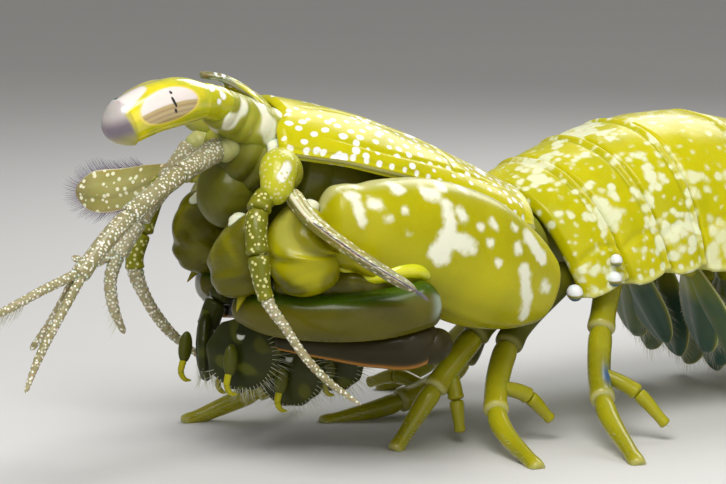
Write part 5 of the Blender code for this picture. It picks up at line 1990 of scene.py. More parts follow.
@dataclass(frozen=True)
class EyeFinish:
    """Painted eye: yellow skin, a pale oval with a striped lower half, and a violet cap.

    Attributes:
        name: Name of the material.
        skin: Colour of the skin.
        skin_deep: Second tone that drifts through it.
        upper: Upper half of the oval.
        lower: Lower half of the oval.
        stripe: Lines over the lower half.
        rim: Line round the oval.
        cap_top: Upper part of the cap.
        cap_middle: Band across the cap.
        cap_bottom: Lower part of the cap.
    """

    name: str = "eye_surface"
    skin: Colour = (0.8, 0.68, 0.004)
    skin_deep: Colour = (0.46, 0.48, 0.01)
    upper: Colour = (0.8, 0.72, 0.68)
    lower: Colour = (0.52, 0.4, 0.19)
    stripe: Colour = (0.42, 0.3, 0.14)
    rim: Colour = (0.82, 0.66, 0.1)
    cap_top: Colour = (0.8, 0.74, 0.7)
    cap_middle: Colour = (0.26, 0.19, 0.25)
    cap_bottom: Colour = (0.72, 0.66, 0.2)

    def material(self) -> bpy.types.Material:
        """The finish as a material, made once."""
        known = bpy.data.materials.get(self.name)
        if known:
            return known
        material, bench, shader, place = new_material(self.name)
        depth, height, cap = (bench.put("ShaderNodeAttribute", {"attribute_name": name}).outputs["Fac"]
                              for name in ("mark", "tint_a", "tint_b"))
        drift = bench.put("ShaderNodeGroup", {"node_tree": EFFECTS.drift}, Place=place, Scale=700.0,
                          Contrast=0.5)
        colour = bench.mix(drift.outputs[0], self.skin, self.skin_deep)
        below = bench.mix(bench.step(height, -1.0, -0.1), self.cap_bottom, self.cap_middle)
        ends = bench.mix(bench.step(height, 0.05, 0.75), below, self.cap_top)
        colour = bench.mix(cap, colour, ends)
        wave = bench.maths("SINE", bench.maths("MULTIPLY", height, 22.0))
        lines = bench.mix(bench.step(wave, -0.2, 0.7), self.lower, self.stripe)
        oval = bench.mix(bench.step(height, -0.03, 0.05), lines, self.upper)
        rim = bench.mix(bench.step(depth, 0.05, 0.12), self.rim, oval)
        colour = bench.mix(bench.step(depth, -0.03, 0.03), colour, rim)
        bench.feed(shader.inputs["Base Color"], colour)
        facets = bench.put("ShaderNodeTexVoronoi", {"feature": "F1"}, Vector=place, Scale=16000.0)
        bump = bench.put("ShaderNodeBump", Height=facets.outputs["Distance"], Strength=0.25,
                         Distance=0.004 * MM)
        bench.feed(shader.inputs["Normal"], bump.outputs[0])
        bench.feed(shader.inputs["Roughness"], bench.step(drift.outputs[0], 0.0, 1.0, 0.14, 0.24))
        shader.inputs["Coat Weight"].default_value = 1.0
        shader.inputs["Coat Roughness"].default_value = 0.03
        shader.inputs["Subsurface Weight"].default_value = 0.15
        shader.inputs["Subsurface Scale"].default_value = 0.0006
        return material


STALK = Finish("stalk_cuticle", (0.6, 0.54, 0.004), (0.42, 0.42, 0.006), mark=WHITE, softness=0.05,
               roughness=0.25, coat=0.8, glow=0.25, tints=((0.76, 0.77, 0.6), (0.25, 0.27, 0.01)))
PUPIL = Finish("pupil_dark", (0.012, 0.01, 0.01), (0.02, 0.016, 0.014), roughness=0.1, coat=1.0, glow=0.0)
# Bright yellow of the fold under the merus: partly its own colour, partly a painted highlight of its lit edge.
LIP = Finish("bright_lip", (0.76, 0.72, 0.01), (0.62, 0.6, 0.008), roughness=0.18, coat=0.9, glow=0.2,
             bump=0.008)


@dataclass
class Eyes:
    """Stalked bean-shaped eyes.

    Attributes:
        rows: Route of each eye.
        stalks: Route of each stalk.
        oval: Place along, angle round, half length and half width of the pale oval.
        pupils: Angle round in degrees and half length of each dark dash.
        pupil_place: Place of the dashes along the eye.
        stalk_spots: Centre and radius of the pale spots of each stalk.
        shell_gap: Gap between an eye's end and the clear shell over it.
    """

    rows: dict[Side, Rows] = field(default_factory=lambda: {
        Side.LEFT: ((-5.3, -2.5, 20.1, 1.0, 1.0), (-6.8, -2.6, 20.15, 1.25, 1.32),
                    (-8.4, -2.6, 19.85, 1.28, 1.35), (-10.0, -2.6, 19.25, 1.2, 1.28),
                    (-11.15, -2.6, 18.75, 1.05, 1.12)),
        Side.RIGHT: ((-2.95, 4.8, 19.4, 1.0, 1.0), (-3.05, 6.2, 19.2, 1.25, 1.32),
                     (-3.2, 7.8, 18.75, 1.28, 1.35), (-3.35, 9.3, 18.1, 1.2, 1.28),
                     (-3.5, 10.35, 17.55, 1.05, 1.12))})
    stalks: dict[Side, Rows] = field(default_factory=lambda: {
        Side.LEFT: ((-2.2, -1.5, 18.9, 0.75, 0.75), (-3.6, -2.1, 19.6, 0.95, 0.95),
                    (-5.0, -2.5, 20.05, 0.95, 0.98), (-5.5, -2.55, 20.1, 1.0, 1.0)),
        Side.RIGHT: ((-2.4, 1.5, 18.9, 0.75, 0.75), (-2.7, 3.2, 19.4, 0.95, 0.95),
                     (-2.9, 4.5, 19.65, 0.95, 0.95), (-2.95, 5.0, 19.45, 1.0, 1.0))})
    oval: tuple[float, float, float, float] = (2.75, math.radians(8.0), 1.85, 1.0)
    pupils: Rows = ((34.0, 0.1), (11.0, 0.3), (-10.0, 0.13))
    pupil_place: float = 2.42
    stalk_spots: dict[Side, Rows] = field(default_factory=lambda: {
        Side.LEFT: ((-5.1, -3.2, 20.9, 0.26), (-4.4, -3.2, 20.4, 0.24), (-4.8, -3.3, 20.1, 0.2),
                    (-5.6, -3.5, 20.3, 0.22), (-4.0, -2.2, 20.6, 0.22), (-3.5, -3.0, 19.7, 0.2)),
        Side.RIGHT: ((-3.3, 4.2, 20.3, 0.24), (-3.6, 3.4, 20.1, 0.22), (-3.7, 4.0, 19.6, 0.2))})
    shell_gap: float = 0.14

    def eye(self, side: Side) -> Surface:
        """One eye with the masks of its painted parts.

        Args:
            side: The side.

        Returns:
            The eye.
        """
        limb = Limb(self.rows[side], 150, 150, (0.0, 1.2))
        surface = limb.surface()
        along, around = surface.masks["along"], surface.masks["around"]
        turned = (around - self.oval[1] + np.pi) % (2.0 * np.pi) - np.pi
        height = turned * 1.3
        centre, _, lift, *_ = limb.section()
        stand = ((surface.points - centre[:, None]) * lift[:, None]).sum(axis=-1)
        near = np.hypot((along - self.oval[0]) / self.oval[2], height / self.oval[3])
        rise = np.clip(np.sin(around), -1.0, 1.0)
        limit = 5.15 - 1.9 * smooth(0.5, 0.97, rise) + 0.1 * rise
        surface.masks["mark"] = 1.0 - near
        surface.masks["tint_b"] = smooth(-0.1, 0.1, along - limit)
        surface.masks["tint_a"] = np.where(along - limit > -0.2, stand, height)
        return surface

    def dashes(self, side: Side) -> list[Limb]:
        """The three dark dashes over the oval.

        Args:
            side: The side.

        Returns:
            The dashes.
        """
        centre, across, lift, wide, high, pace, tangent = Limb(self.rows[side], 150, 8).section()
        step = int(np.argmin(np.abs(pace - self.pupil_place)))
        found = []
        for degrees, half in self.pupils:
            angle = math.radians(degrees)
            out = across[step] * wide[step] * math.cos(angle) + lift[step] * high[step] * math.sin(angle)
            way = -across[step] * math.sin(angle) + lift[step] * math.cos(angle)
            rows = tuple(
                (*(centre[step] + out * 0.998 + (way + tangent[step] * 0.25) * half * share), 0.075, 0.03)
                for share in (-1.0, -0.4, 0.4, 1.0))
            found.append(Limb(rows, 20, 16, (half * 0.7, half * 0.7), up=tuple(out)))
        return found

    def build(self) -> None:
        """Make both eyes, their stalks and the clear shells over their ends."""
        for side in Side:
            mould = Mould(side.name_of("eye_ball"), EyeFinish().material(), PUPIL.material())
            mould.add(self.eye(side)).limbs(*self.dashes(side), slot=1)
            settle(mould.cast(), "cornea", side.name_of("eye"))
            rows = [list(row) for row in stretch(self.rows[side], 0.76, 1.0)]
            for row in rows:
                row[3] += self.shell_gap
                row[4] += self.shell_gap
            ahead = np.array(rows[-1][:3]) - np.array(rows[-2][:3])
            rows.append([*(np.array(rows[-1][:3]) + ahead * 0.7), rows[-1][3], rows[-1][4]])
            shell = Limb(tuple(map(tuple, rows)), 60, 80, (0.5, 1.7))
            settle(Mould(side.name_of("eye_shell"), CLEAR.material()).limbs(shell).cast(), "cornea")
            surface = Limb(self.stalks[side], 70, 90, (0.3, 0.1), relief=folds(0.035, 0.7, 2)).surface()
            surface.masks["mark"] = blobs(surface.points, self.stalk_spots[side])
            settle(Mould(side.name_of("eye_stalk"), STALK.material()).add(surface).cast(), "stalk",
                   side.name_of("eyestalk"))


@dataclass
class Feelers:
    """Antennules, antennae and their broad blades.

    Attributes:
        antennule: Route of each antennule's jointed stem.
        whips: Routes of its three whips.
        base: Route of each antenna's base, as if it were the left one.
        antenna: Route of each antenna.
        blade: Route of each blade.
        blade_up: Direction of each blade's width.
        cuts: Shares of an antennule's stem where its articles meet.
    """

    antennule: dict[Side, Rows] = field(default_factory=lambda: {
        Side.LEFT: ((-3.6, -1.3, 17.3, 0.72, 0.72), (-5.5, -2.2, 16.7, 0.6, 0.6),
                    (-7.6, -3.0, 15.9, 0.55, 0.55), (-11.3, -3.8, 13.7, 0.52, 0.52),
                    (-13.9, -4.3, 11.4, 0.45, 0.45)),
        Side.RIGHT: ((-3.6, 1.3, 17.2, 0.75, 0.75), (-4.9, 1.9, 15.4, 0.6, 0.6),
                     (-6.7, 2.5, 12.9, 0.55, 0.55), (-7.7, 2.8, 11.2, 0.5, 0.5))})
    whips: dict[Side, tuple[Rows, ...]] = field(default_factory=lambda: {
        Side.LEFT: (
            ((-13.6, -4.2, 11.7, 0.26), (-16.4, -4.8, 10.9, 0.25), (-18.9, -5.3, 10.1, 0.22),
             (-22.2, -5.9, 9.6, 0.12)),
            ((-13.6, -4.4, 11.6, 0.26), (-15.5, -4.8, 9.1, 0.25), (-16.7, -5.1, 7.4, 0.22),
             (-17.6, -5.4, 5.8, 0.12)),
            ((-13.7, -4.0, 11.6, 0.3), (-14.8, -3.6, 9.4, 0.3), (-16.2, -3.3, 7.6, 0.16))),
        Side.RIGHT: (
            ((-7.6, 2.75, 11.6, 0.36), (-8.1, 2.9, 9.9, 0.36), (-7.9, 3.0, 8.4, 0.32),
             (-7.1, 3.2, 6.7, 0.16)),
            ((-7.2, 2.7, 12.0, 0.3), (-9.0, 3.2, 10.9, 0.3), (-10.2, 3.5, 11.2, 0.16)),
            ((-7.4, 2.6, 11.8, 0.3), (-7.4, 4.2, 9.4, 0.3), (-6.9, 5.0, 7.6, 0.16)))})
    base: dict[Side, Rows] = field(default_factory=lambda: {
        Side.LEFT: ((-0.6, -3.4, 15.9, 1.0, 1.0), (-1.5, -4.6, 16.25, 1.1, 1.1),
                    (-2.35, -5.6, 16.45, 1.05, 1.1), (-2.75, -6.1, 15.7, 0.92, 0.95),
                    (-3.1, -6.35, 14.7, 0.64, 0.64)),
        Side.RIGHT: ((-0.6, -3.4, 15.9, 1.0, 1.0), (-1.4, -4.7, 15.7, 1.05, 1.05),
                     (-2.2, -5.7, 15.3, 0.75, 0.75))})
    antenna: dict[Side, Rows] = field(default_factory=lambda: {
        Side.LEFT: ((-2.0, -5.3, 15.5, 0.6), (-3.9, -6.2, 14.7, 0.62), (-4.5, -6.8, 13.4, 0.6),
                    (-4.6, -7.3, 11.6, 0.58), (-4.5, -7.7, 10.0, 0.38), (-3.7, -8.4, 8.4, 0.27),
                    (-3.0, -9.2, 6.9, 0.24), (-1.7, -10.0, 5.3, 0.2), (-0.3, -10.6, 4.2, 0.1)),
        Side.RIGHT: ((-2.0, 5.3, 15.5, 0.6), (-3.4, 5.7, 14.4, 0.62), (-4.3, 5.8, 12.4, 0.6),
                     (-5.0, 5.8, 10.0, 0.5), (-4.5, 5.6, 8.4, 0.36), (-3.3, 5.2, 6.4, 0.32),
                     (-1.1, 4.7, 4.4, 0.14))})
    blade: dict[Side, Rows] = field(default_factory=lambda: {
        Side.LEFT: ((-1.9, -6.1, 15.2, 0.42, 0.5), (-1.9, -8.2, 14.0, 0.34, 1.0),
                    (-0.8, -10.1, 12.6, 0.28, 1.4), (0.7, -11.6, 11.3, 0.24, 1.4),
                    (1.9, -12.6, 10.4, 0.2, 1.0)),
        Side.RIGHT: ((-1.9, 6.0, 15.2, 0.42, 0.5), (-3.0, 7.8, 14.6, 0.34, 0.9),
                     (-4.0, 9.2, 14.0, 0.28, 1.2), (-5.0, 10.4, 13.8, 0.24, 1.2),
                     (-5.8, 11.3, 13.8, 0.2, 0.8))})
    blade_up: dict[Side, tuple] = field(default_factory=lambda: {
        Side.LEFT: (-0.62, -0.74, 0.21), Side.RIGHT: (0.12, 0.12, 1.0)})
    cuts: dict[Side, tuple] = field(default_factory=lambda: {
        Side.LEFT: (0.3, 0.64), Side.RIGHT: (0.36, 0.7)})

    def build(self) -> None:
        """Make the feelers of both sides."""
        for side in Side:
            self.stem(side)
            self.outer(side)
            self.paddle(side)

    def stem(self, side: Side) -> None:
        """Antennule: three long articles, three whips and the brush of scent hairs.

        Args:
            side: The side.
        """
        finish = FEELER.material()
        mould = Mould(side.name_of("antennule_stem"), finish)
        mould.limbs(*jointed(self.antennule[side], self.cuts[side], 0.07, 70, 40))
        settle(mould.cast(), "feeler", side.name_of("antennule"))
        whips = RingedWhip().grow(side.name_of("antennule_whips"), list(self.whips[side]), finish)
        settle(whips, "feeler")
        outer = spline(self.whips[side][0], np.linspace(0.45, 0.8, 12))
        line = outer[:, :3] - (0.0, 0.0, 0.22)
        brush = HairRow(0.11, 0.95, 0.022, 0.2, 0.1, 7).grow(
            side.name_of("scent_brush"), [(line, np.tile((-0.35, 0.0, -1.0), (12, 1)))], HAIR.material())
        settle(brush, "feeler")

    def outer(self, side: Side) -> None:
        """Antenna: stout base, two articles and the ringed whip.

        Args:
            side: The side.
        """
        mould = Mould(side.name_of("antenna_stem"), PEDUNCLE.material())
        limb = Limb(self.base[side], 70, 64, (0.3, 0.7), relief=folds(0.03, 0.9, 17))
        base = placed(limb.surface(), side)
        white = strokes(base.points[..., 0], base.points[..., 2],
                        ((-2.95, 16.2, 0.26, -2.45, 16.75, 0.3),))
        base.masks["tint_a"] = smooth(-0.06, 0.06, white)
        base.masks["tint_b"] = 0.9 * (1.0 - base.masks["tint_a"])
        mould.add(base)
        mould.limbs(*jointed(stretch(self.antenna[side], 0.0, 0.5, 9), (0.36, 0.68), 0.07, 50, 40,
                                     up=(0.0, 1.0, 0.0)))
        settle(mould.cast(), "feeler", side.name_of("antenna"))
        whip = RingedWhip(0.36, 0.14, 18).grow(side.name_of("antenna_whip"),
                                               [stretch(self.antenna[side], 0.47, 1.0, 9)], FEELER.material())
        settle(whip, "feeler")

    def paddle(self, side: Side) -> None:
        """Antennal scale: a ribbed blade with a fringe round its edge.

        Args:
            side: The side.
        """
        limb = Limb(self.blade[side], 110, 90, (0.2, 1.1), up=self.blade_up[side], relief=TailFan.rib)
        surface = limb.surface()
        edge = np.abs(np.sin(surface.masks["around"]))
        surface.masks["tint_a"] = 0.85 * smooth(0.93, 0.99, edge)
        surface.masks["tint_b"] = (0.3 * smooth(5.2, 7.2, surface.masks["along"])
                                   * (1.0 - surface.masks["tint_a"]))
        settle(Mould(side.name_of("scale_blade"), BLADE.material()).add(surface).cast(), "feeler",
               side.name_of("antennal_scale"))
        hairs = HairRow(0.05, 1.0, 0.022, 0.18, 0.07, 51).grow(
            side.name_of("scale_fringe"), [limb.rim(0.32, 60)], BLUE_HAIR.material())
        settle(hairs, "feeler")


@dataclass
class Claws:
    """Raptorial claws, folded below the body; built for the left and turned over.

    Attributes:
        shift: How far the right claw stands from a mirror image of the left.
        ischium: Route of the claw's root.
        merus: Route of the upper arm.
        lip: Route of the bright fold under the upper arm, its brightness partly a painted highlight of the lit
            lower edge.
        carpus_front: Route of the wrist's front lobe.
        carpus_hind: Route of its hind lobe.
        propodus: Route of the hand.
        dactyl: Route of the folded finger.
        heel: Route of the dark lump between wrist and hand, painted shade that fills the gap between the merus
            and the hand.
        teeth: Root and tip of the wrist's teeth.
        blotches: Pale blotches of the merus seen from its side: two ends and a radius for each.
        near_face: Y that a point of the merus passes to be painted.
    """

    shift: tuple[float, float, float] = (2.3, 0.0, 0.2)
    ischium: Rows = ((9.6, -4.2, 8.6, 1.0, 1.1), (12.2, -5.9, 8.1, 1.2, 1.3), (14.3, -6.9, 8.4, 1.2, 1.3))
    merus: Rows = ((14.7, -7.1, 8.5, 1.2, 1.5), (12.6, -7.3, 9.35, 1.8, 2.75), (10.0, -7.5, 10.4, 2.15, 3.5),
                   (7.0, -7.5, 11.7, 2.3, 3.65), (4.0, -7.4, 12.65, 2.25, 3.2), (1.4, -7.1, 13.25, 2.0, 2.5),
                   (-0.6, -6.7, 13.5, 1.6, 1.9))
    lip: Rows = ((-0.1, -7.2, 11.4, 0.12), (1.1, -7.5, 10.8, 0.22), (2.0, -8.2, 10.55, 0.34),
                 (2.7, -8.85, 10.8, 0.42), (3.4, -9.1, 10.95, 0.46), (4.1, -9.25, 10.92, 0.46),
                 (4.8, -9.2, 10.65, 0.36), (5.4, -9.1, 10.3, 0.24), (5.8, -9.0, 10.0, 0.1))
    carpus_front: Rows = ((-0.2, -6.4, 13.9, 1.2, 1.2), (-1.1, -6.5, 13.1, 1.75, 1.75),
                          (-1.5, -6.7, 11.8, 1.9, 1.85), (-1.2, -6.9, 10.6, 1.75, 1.65),
                          (-1.0, -7.0, 9.7, 1.1, 1.1))
    carpus_hind: Rows = ((-2.3, -5.0, 13.2, 1.1, 1.1), (-3.4, -4.4, 12.5, 1.55, 1.5),
                         (-3.9, -4.0, 11.2, 1.6, 1.6), (-3.8, -3.8, 10.1, 1.3, 1.35),
                         (-3.7, -3.7, 9.4, 0.8, 0.8))
    propodus: Rows = ((-3.5, -3.0, 8.9, 0.9, 0.7), (-2.6, -4.9, 8.6, 1.1, 1.15), (-0.7, -7.0, 8.45, 1.25, 1.3),
                      (2.3, -8.9, 8.65, 1.3, 1.35), (5.2, -10.0, 9.35, 1.15, 1.3))
    dactyl: Rows = ((5.3, -9.9, 7.4, 0.7, 0.8), (4.0, -9.3, 6.8, 1.15, 1.2), (2.2, -8.3, 6.65, 0.95, 1.05),
                    (0.2, -6.9, 6.75, 0.6, 0.75), (-2.2, -4.8, 6.95, 0.35, 0.4))
    heel: Rows = ((-2.4, -5.0, 10.0, 0.9, 0.8), (0.0, -6.3, 10.1, 1.0, 0.9), (2.2, -7.6, 10.0, 0.9, 0.8),
                  (3.8, -8.3, 9.9, 0.4, 0.4))
    teeth: tuple[tuple, ...] = (
        ((-3.6, -4.2, 10.2), (-4.5, -4.7, 8.8)), ((-3.4, -5.4, 10.9), (-4.0, -6.5, 9.8)),
        ((-3.0, -4.4, 10.0), (-3.1, -5.1, 9.0)))
    blotches: Rows = (
        (0.2, 15.75, 0.2, 1.5, 15.8, 0.24), (0.7, 15.0, 0.3, 0.8, 13.8, 0.18),
        (1.6, 14.7, 0.28, 1.95, 14.6, 0.26), (5.0, 15.1, 0.34, 5.5, 14.9, 0.34),
        (6.0, 14.4, 0.32, 6.0, 13.1, 0.4), (6.0, 13.1, 0.4, 5.4, 11.9, 0.72),
        (6.2, 12.5, 0.4, 7.2, 12.1, 0.42), (7.1, 12.0, 0.4, 7.5, 11.9, 0.32),
        (6.9, 13.9, 0.3, 7.0, 13.6, 0.26), (3.1, 15.4, 0.2, 3.4, 15.4, 0.2),
        (6.1, 15.3, 0.2, 6.3, 15.3, 0.2), (7.6, 15.1, 0.22, 7.8, 15.0, 0.2),
        (3.3, 14.3, 0.14, 3.4, 14.3, 0.14), (2.2, 13.9, 0.2, 2.3, 13.9, 0.18),
        (3.5, 13.0, 0.14, 3.6, 13.0, 0.14), (9.0, 13.1, 0.22, 9.2, 13.0, 0.2),
        (8.1, 13.0, 0.14, 8.2, 13.0, 0.14), (8.7, 12.1, 0.2, 8.8, 12.1, 0.2),
        (10.7, 12.9, 0.22, 10.8, 12.8, 0.2), (10.7, 11.7, 0.22, 10.8, 11.6, 0.2),
        (9.2, 11.0, 0.2, 9.3, 11.0, 0.2), (11.8, 12.1, 0.42, 12.8, 10.9, 0.4),
        (11.2, 10.5, 0.34, 11.5, 8.9, 0.4), (11.5, 8.9, 0.4, 11.7, 7.6, 0.26),
        (12.9, 9.3, 0.38, 13.2, 9.1, 0.34), (-0.9, 15.4, 0.12, -0.8, 15.4, 0.12))
    near_face: float = -7.3

    def cast(self, mould: Mould, surface: Surface, side: Side, slot: int = 0) -> None:
        """Put a surface of the left claw into a mould, on its side."""
        mould.add(placed(surface, side, self.shift if side is Side.RIGHT else (0.0, 0.0, 0.0)), slot)

    def build(self) -> None:
        """Make both claws."""
        for side in Side:
            self.arm(side)
            self.wrist(side)
            self.hand(side)

    def arm(self, side: Side) -> None:
        """Ischium and merus, both with painted shade underneath; the merus with its blotches, a painted
        highlight along its top, and its bright lower lip.

        Args:
            side: The side.
        """
        mould = Mould(side.name_of("claw_ischium"), ARM.material())
        for limb in jointed(self.ischium, (0.45,), 0.08, 50, 56, power=2.2):
            surface = limb.surface()
            # Darker underneath: painted shade.
            surface.masks["tint_b"] = 0.5 * smooth(0.3, -0.6, np.sin(surface.masks["around"]))
            self.cast(mould, surface, side)
        settle(mould.cast(), "arm", side.name_of("raptorial_ischium"))
        mould = Mould(side.name_of("claw_merus"), ARM.material(), LIP.material())
        surface = Limb(self.merus, 160, 140, (0.9, 0.8), 2.2, relief=self.swelling).surface()
        points = surface.points
        mark = strokes(points[..., 0], points[..., 2], self.blotches)
        surface.masks["mark"] = np.where(points[..., 1] < self.near_face, mark, UNMARKED)
        rise = np.sin(surface.masks["around"])
        # Darker underneath as painted shade, with a faint darker band just above the middle; lighter along the
        # top as a painted highlight.
        surface.masks["tint_b"] = 0.4 * smooth(-0.35, -0.9, rise) + 0.08 * hump(rise, 0.2, 0.25)
        surface.masks["tint_a"] = 0.3 * smooth(0.8, 1.0, rise)
        self.cast(mould, surface, side)
        # The lip: a real fold, made brighter than the arm as a painted highlight of its lit lower edge.
        self.cast(mould, Limb(self.lip, 90, 40, (0.5, 0.5)).surface(), side, 1)
        settle(mould.cast(), "arm", side.name_of("raptorial_merus"))

    @staticmethod
    def swelling(along: np.ndarray, around: np.ndarray) -> np.ndarray:
        """Low hollows and ridges of the merus.

        Args:
            along: Length along.
            around: Angle round.

        Returns:
            Height at each point.
        """
        ridge = 0.1 * hump(np.sin(around), -0.82, 0.07) * smooth(0.5, 3.0, along)
        saddle = 0.12 * hump(along, 14.2, 0.5)
        return ridge - saddle + 0.03 * np.sin(along * 1.3 + np.cos(around) * 2.0)

    def wrist(self, side: Side) -> None:
        """The two lobes of the carpus, the dark lump of painted shade between wrist and hand, their teeth and
        the pale skin between the joints.

        Args:
            side: The side.
        """
        mould = Mould(side.name_of("claw_carpus"), ARM.material(), MEMBRANE.material())
        # The heel's dark 0.85 is painted shade: a dark lump put in the gap between merus and hand.
        for rows, deep in ((self.carpus_front, 0.16), (self.carpus_hind, 0.8), (self.heel, 0.85)):
            surface = Limb(rows, 70, 64, (1.0, 0.7), 2.8, relief=folds(0.08, 1.7, 9)).surface()
            rise = np.sin(surface.masks["around"])
            crease = 0.5 * smooth(0.25, 0.75, np.abs(ripple(surface.points, 3.2, 15)))
            # Darker underneath as painted shade; lighter along the very top as a painted highlight.
            surface.masks["tint_b"] = np.clip(deep + crease + 0.4 * smooth(0.2, -0.8, rise), 0.0, 0.95)
            surface.masks["tint_a"] = 0.1 * smooth(0.93, 1.0, rise)
            self.cast(mould, surface, side)
        for root, tip in self.teeth:
            surface = spike(root, tip, 0.36, 0.0, 20).surface()
            self.cast(mould, surface.wash("tint_b", 0.5), side)
        for centre, radii, aim in (((-4.0, -4.2, 13.5), (0.7, 0.6, 0.45), (-0.3, -0.5, -0.6)),
                                   ((-1.1, -6.3, 14.3), (0.8, 0.7, 0.5), (-0.8, 0.3, -0.3)),
                                   ((-3.0, -5.5, 12.2), (0.7, 0.6, 1.0), (-0.6, 0.7, 0.0))):
            surface = knob(centre, radii, aim, 44, 48, folds(0.05, 0.5, 14)).surface()
            self.cast(mould, surface.wash("tint_a", 0.75), side, 1)
        settle(mould.cast(), "arm", side.name_of("raptorial_carpus"))

    def hand(self, side: Side) -> None:
        """Propodus with its dark upper band, which is painted shadow and reflection of the merus, its pale
        heel, and the dactyl.

        Args:
            side: The side.
        """
        mould = Mould(side.name_of("claw_propodus"), HAND.material())
        surface = Limb(self.propodus, 110, 90, (0.5, 1.0), 2.25, relief=self.channel).surface()
        rise, x = np.sin(surface.masks["around"]), surface.points[..., 0]
        heel = smooth(3.9, 4.9, x) * smooth(0.75, 0.3, np.abs(rise))
        # Dark green band over the top: painted shadow and reflection of the merus above it.
        surface.masks["tint_b"] = 0.9 * smooth(0.25, 0.8, rise)
        surface.masks["tint_a"] = 0.85 * np.clip(heel + 0.7 * smooth(4.9, 5.8, x), 0.0, 1.0)
        self.cast(mould, surface, side)
        settle(mould.cast(), "hand", side.name_of("raptorial_propodus"))
        mould = Mould(side.name_of("claw_dactyl"), DACTYL.material())
        surface = Limb(self.dactyl, 90, 64, (0.6, 0.4)).surface()
        rise = np.sin(surface.masks["around"])
        surface.masks["tint_a"] = 0.9 * hump(rise, -0.86, 0.12)
        self.cast(mould, surface, side)
        bulb = knob((4.9, -9.7, 6.75), (1.15, 1.0, 0.95), (0.8, -0.4, 0.5), 50, 56)
        self.cast(mould, bulb.surface(), side)
        settle(mould.cast(), "hand", side.name_of("raptorial_dactyl"))

    @staticmethod
    def channel(along: np.ndarray, around: np.ndarray) -> np.ndarray:
        """Groove under the propodus, where the dactyl folds in."""
        return -0.16 * hump(np.sin(around), -1.0, 0.06) + 0.06 * hump(np.sin(around), -0.86, 0.04)


@dataclass
class Maxillipeds:
    """The three small pairs of mouth legs, each with a disc and a hook.

    Attributes:
        rows: Hip, bend and middle of the disc, and the disc's radius, by name.
        facing: Direction that the discs face.
        thick: Thickness of a disc.
    """

    rows: dict[str, tuple] = field(default_factory=lambda: {
        "maxilliped_3": ((2.6, -1.5, 10.0), (-1.9, -1.8, 8.3), (-2.5, -2.0, 5.9), 2.0),
        "maxilliped_4": ((4.6, -1.7, 9.2), (0.9, -2.4, 7.4), (0.2, -2.7, 4.6), 1.8),
        "maxilliped_5": ((6.8, -1.8, 8.7), (3.9, -2.7, 7.0), (3.0, -2.9, 4.9), 1.5)})
    facing: tuple[float, float, float] = (-0.45, -0.35, 0.0)
    thick: float = 1.1

    def build(self) -> None:
        """Make all six."""
        for side in Side:
            for name, (hip, bend, disc, radius) in self.rows.items():
                self.one(name, side, np.array(hip), np.array(bend), np.array(disc), radius)

    def one(self, name: str, side: Side, hip: np.ndarray, bend: np.ndarray, disc: np.ndarray,
            radius: float) -> None:
        """One mouth leg: stem, disc, thumb, hook and the hairs round the disc.

        Args:
            name: Name of the leg.
            side: The side.
            hip: Its root.
            bend: Its bend.
            disc: Middle of its disc.
            radius: Radius of its disc.
        """
        mould = Mould(side.name_of(f"{name}_leg"), MOUTH.material(), ARM.material())
        path = ((*hip, 0.7), (*bend, 0.65), (*(disc + (0.0, 0.0, radius * 0.4)), 0.6))
        for limb in jointed(path, (0.4, 0.75), 0.06, 40, 36):
            mould.add(placed(limb.surface(), side))
        way = unit(np.array(self.facing)) * self.thick * 0.5
        rows = ((*(disc - way), radius), (*disc, radius * 1.05), (*(disc + way), radius * 0.9))

        def dish(along: np.ndarray, around: np.ndarray) -> np.ndarray:
            """Scalloped edge and a low hump in the disc."""
            return 0.05 * np.sin(around * 9.0) * radius * 0.5 + 0.08 * np.sin(around * 2.0 + 0.8)

        plate_body = Limb(rows, 50, 84, (0.42, 0.42), relief=dish).surface()
        spots = tuple((*(disc + way + (0.5 * math.cos(turn) * radius * 0.6, 0.0,
                                       math.sin(turn) * radius * 0.55)), 0.3)
                      for turn in (0.6, 1.5, 2.6, 4.1))
        plate_body.masks["mark"] = blobs(plate_body.points, spots) - 0.05
        plate_body.masks["tint_a"] = 0.4 * smooth(0.2, 0.9, ripple(plate_body.points, 1.6, 61))
        mould.add(placed(plate_body, side))
        thumb = knob(tuple(disc + (-radius * 0.55, -0.5, -radius * 0.1)), (radius * 0.46, 0.28, 0.42),
                     (-0.1, -0.05, -1.0), 40, 44).surface()
        mould.add(placed(thumb.wash("tint_a", 0.35), side))
        tip = disc + (-radius * 0.55, -0.55, -radius * 1.02)
        hook = ((*(disc + (-radius * 0.62, -0.5, -radius * 0.45)), 0.2),
                (*(tip + (-0.25, 0.0, 0.35)), 0.17), (*tip, 0.13), (*(tip + (0.4, 0.0, -0.1)), 0.04))
        claw = Limb(hook, 40, 24, (0.1, 0.1)).surface()
        mould.add(placed(claw.wash("tint_b", 0.25), side), 1)
        settle(mould.cast(), "mouth", side.name_of(name))
        turns = np.linspace(math.radians(150), math.radians(330), 40)
        flat = unit(np.cross((0.0, 0.0, 1.0), way))
        out = (flat[None] * np.cos(turns)[:, None] * -1.0
               + np.array((0.0, 0.0, 1.0)) * np.sin(turns)[:, None])
        lines = [((disc + out * radius * 0.93 + way * shift) * side.flip,
                  (out + way * shift * 0.6) * side.flip) for shift in (-0.6, 0.0, 0.6)]
        hairs = HairRow(0.22, 1.0, 0.018, 0.25, 0.25, 71).grow(
            side.name_of(f"{name}_hairs"), lines, HAIR.material())
        settle(hairs, "mouth")


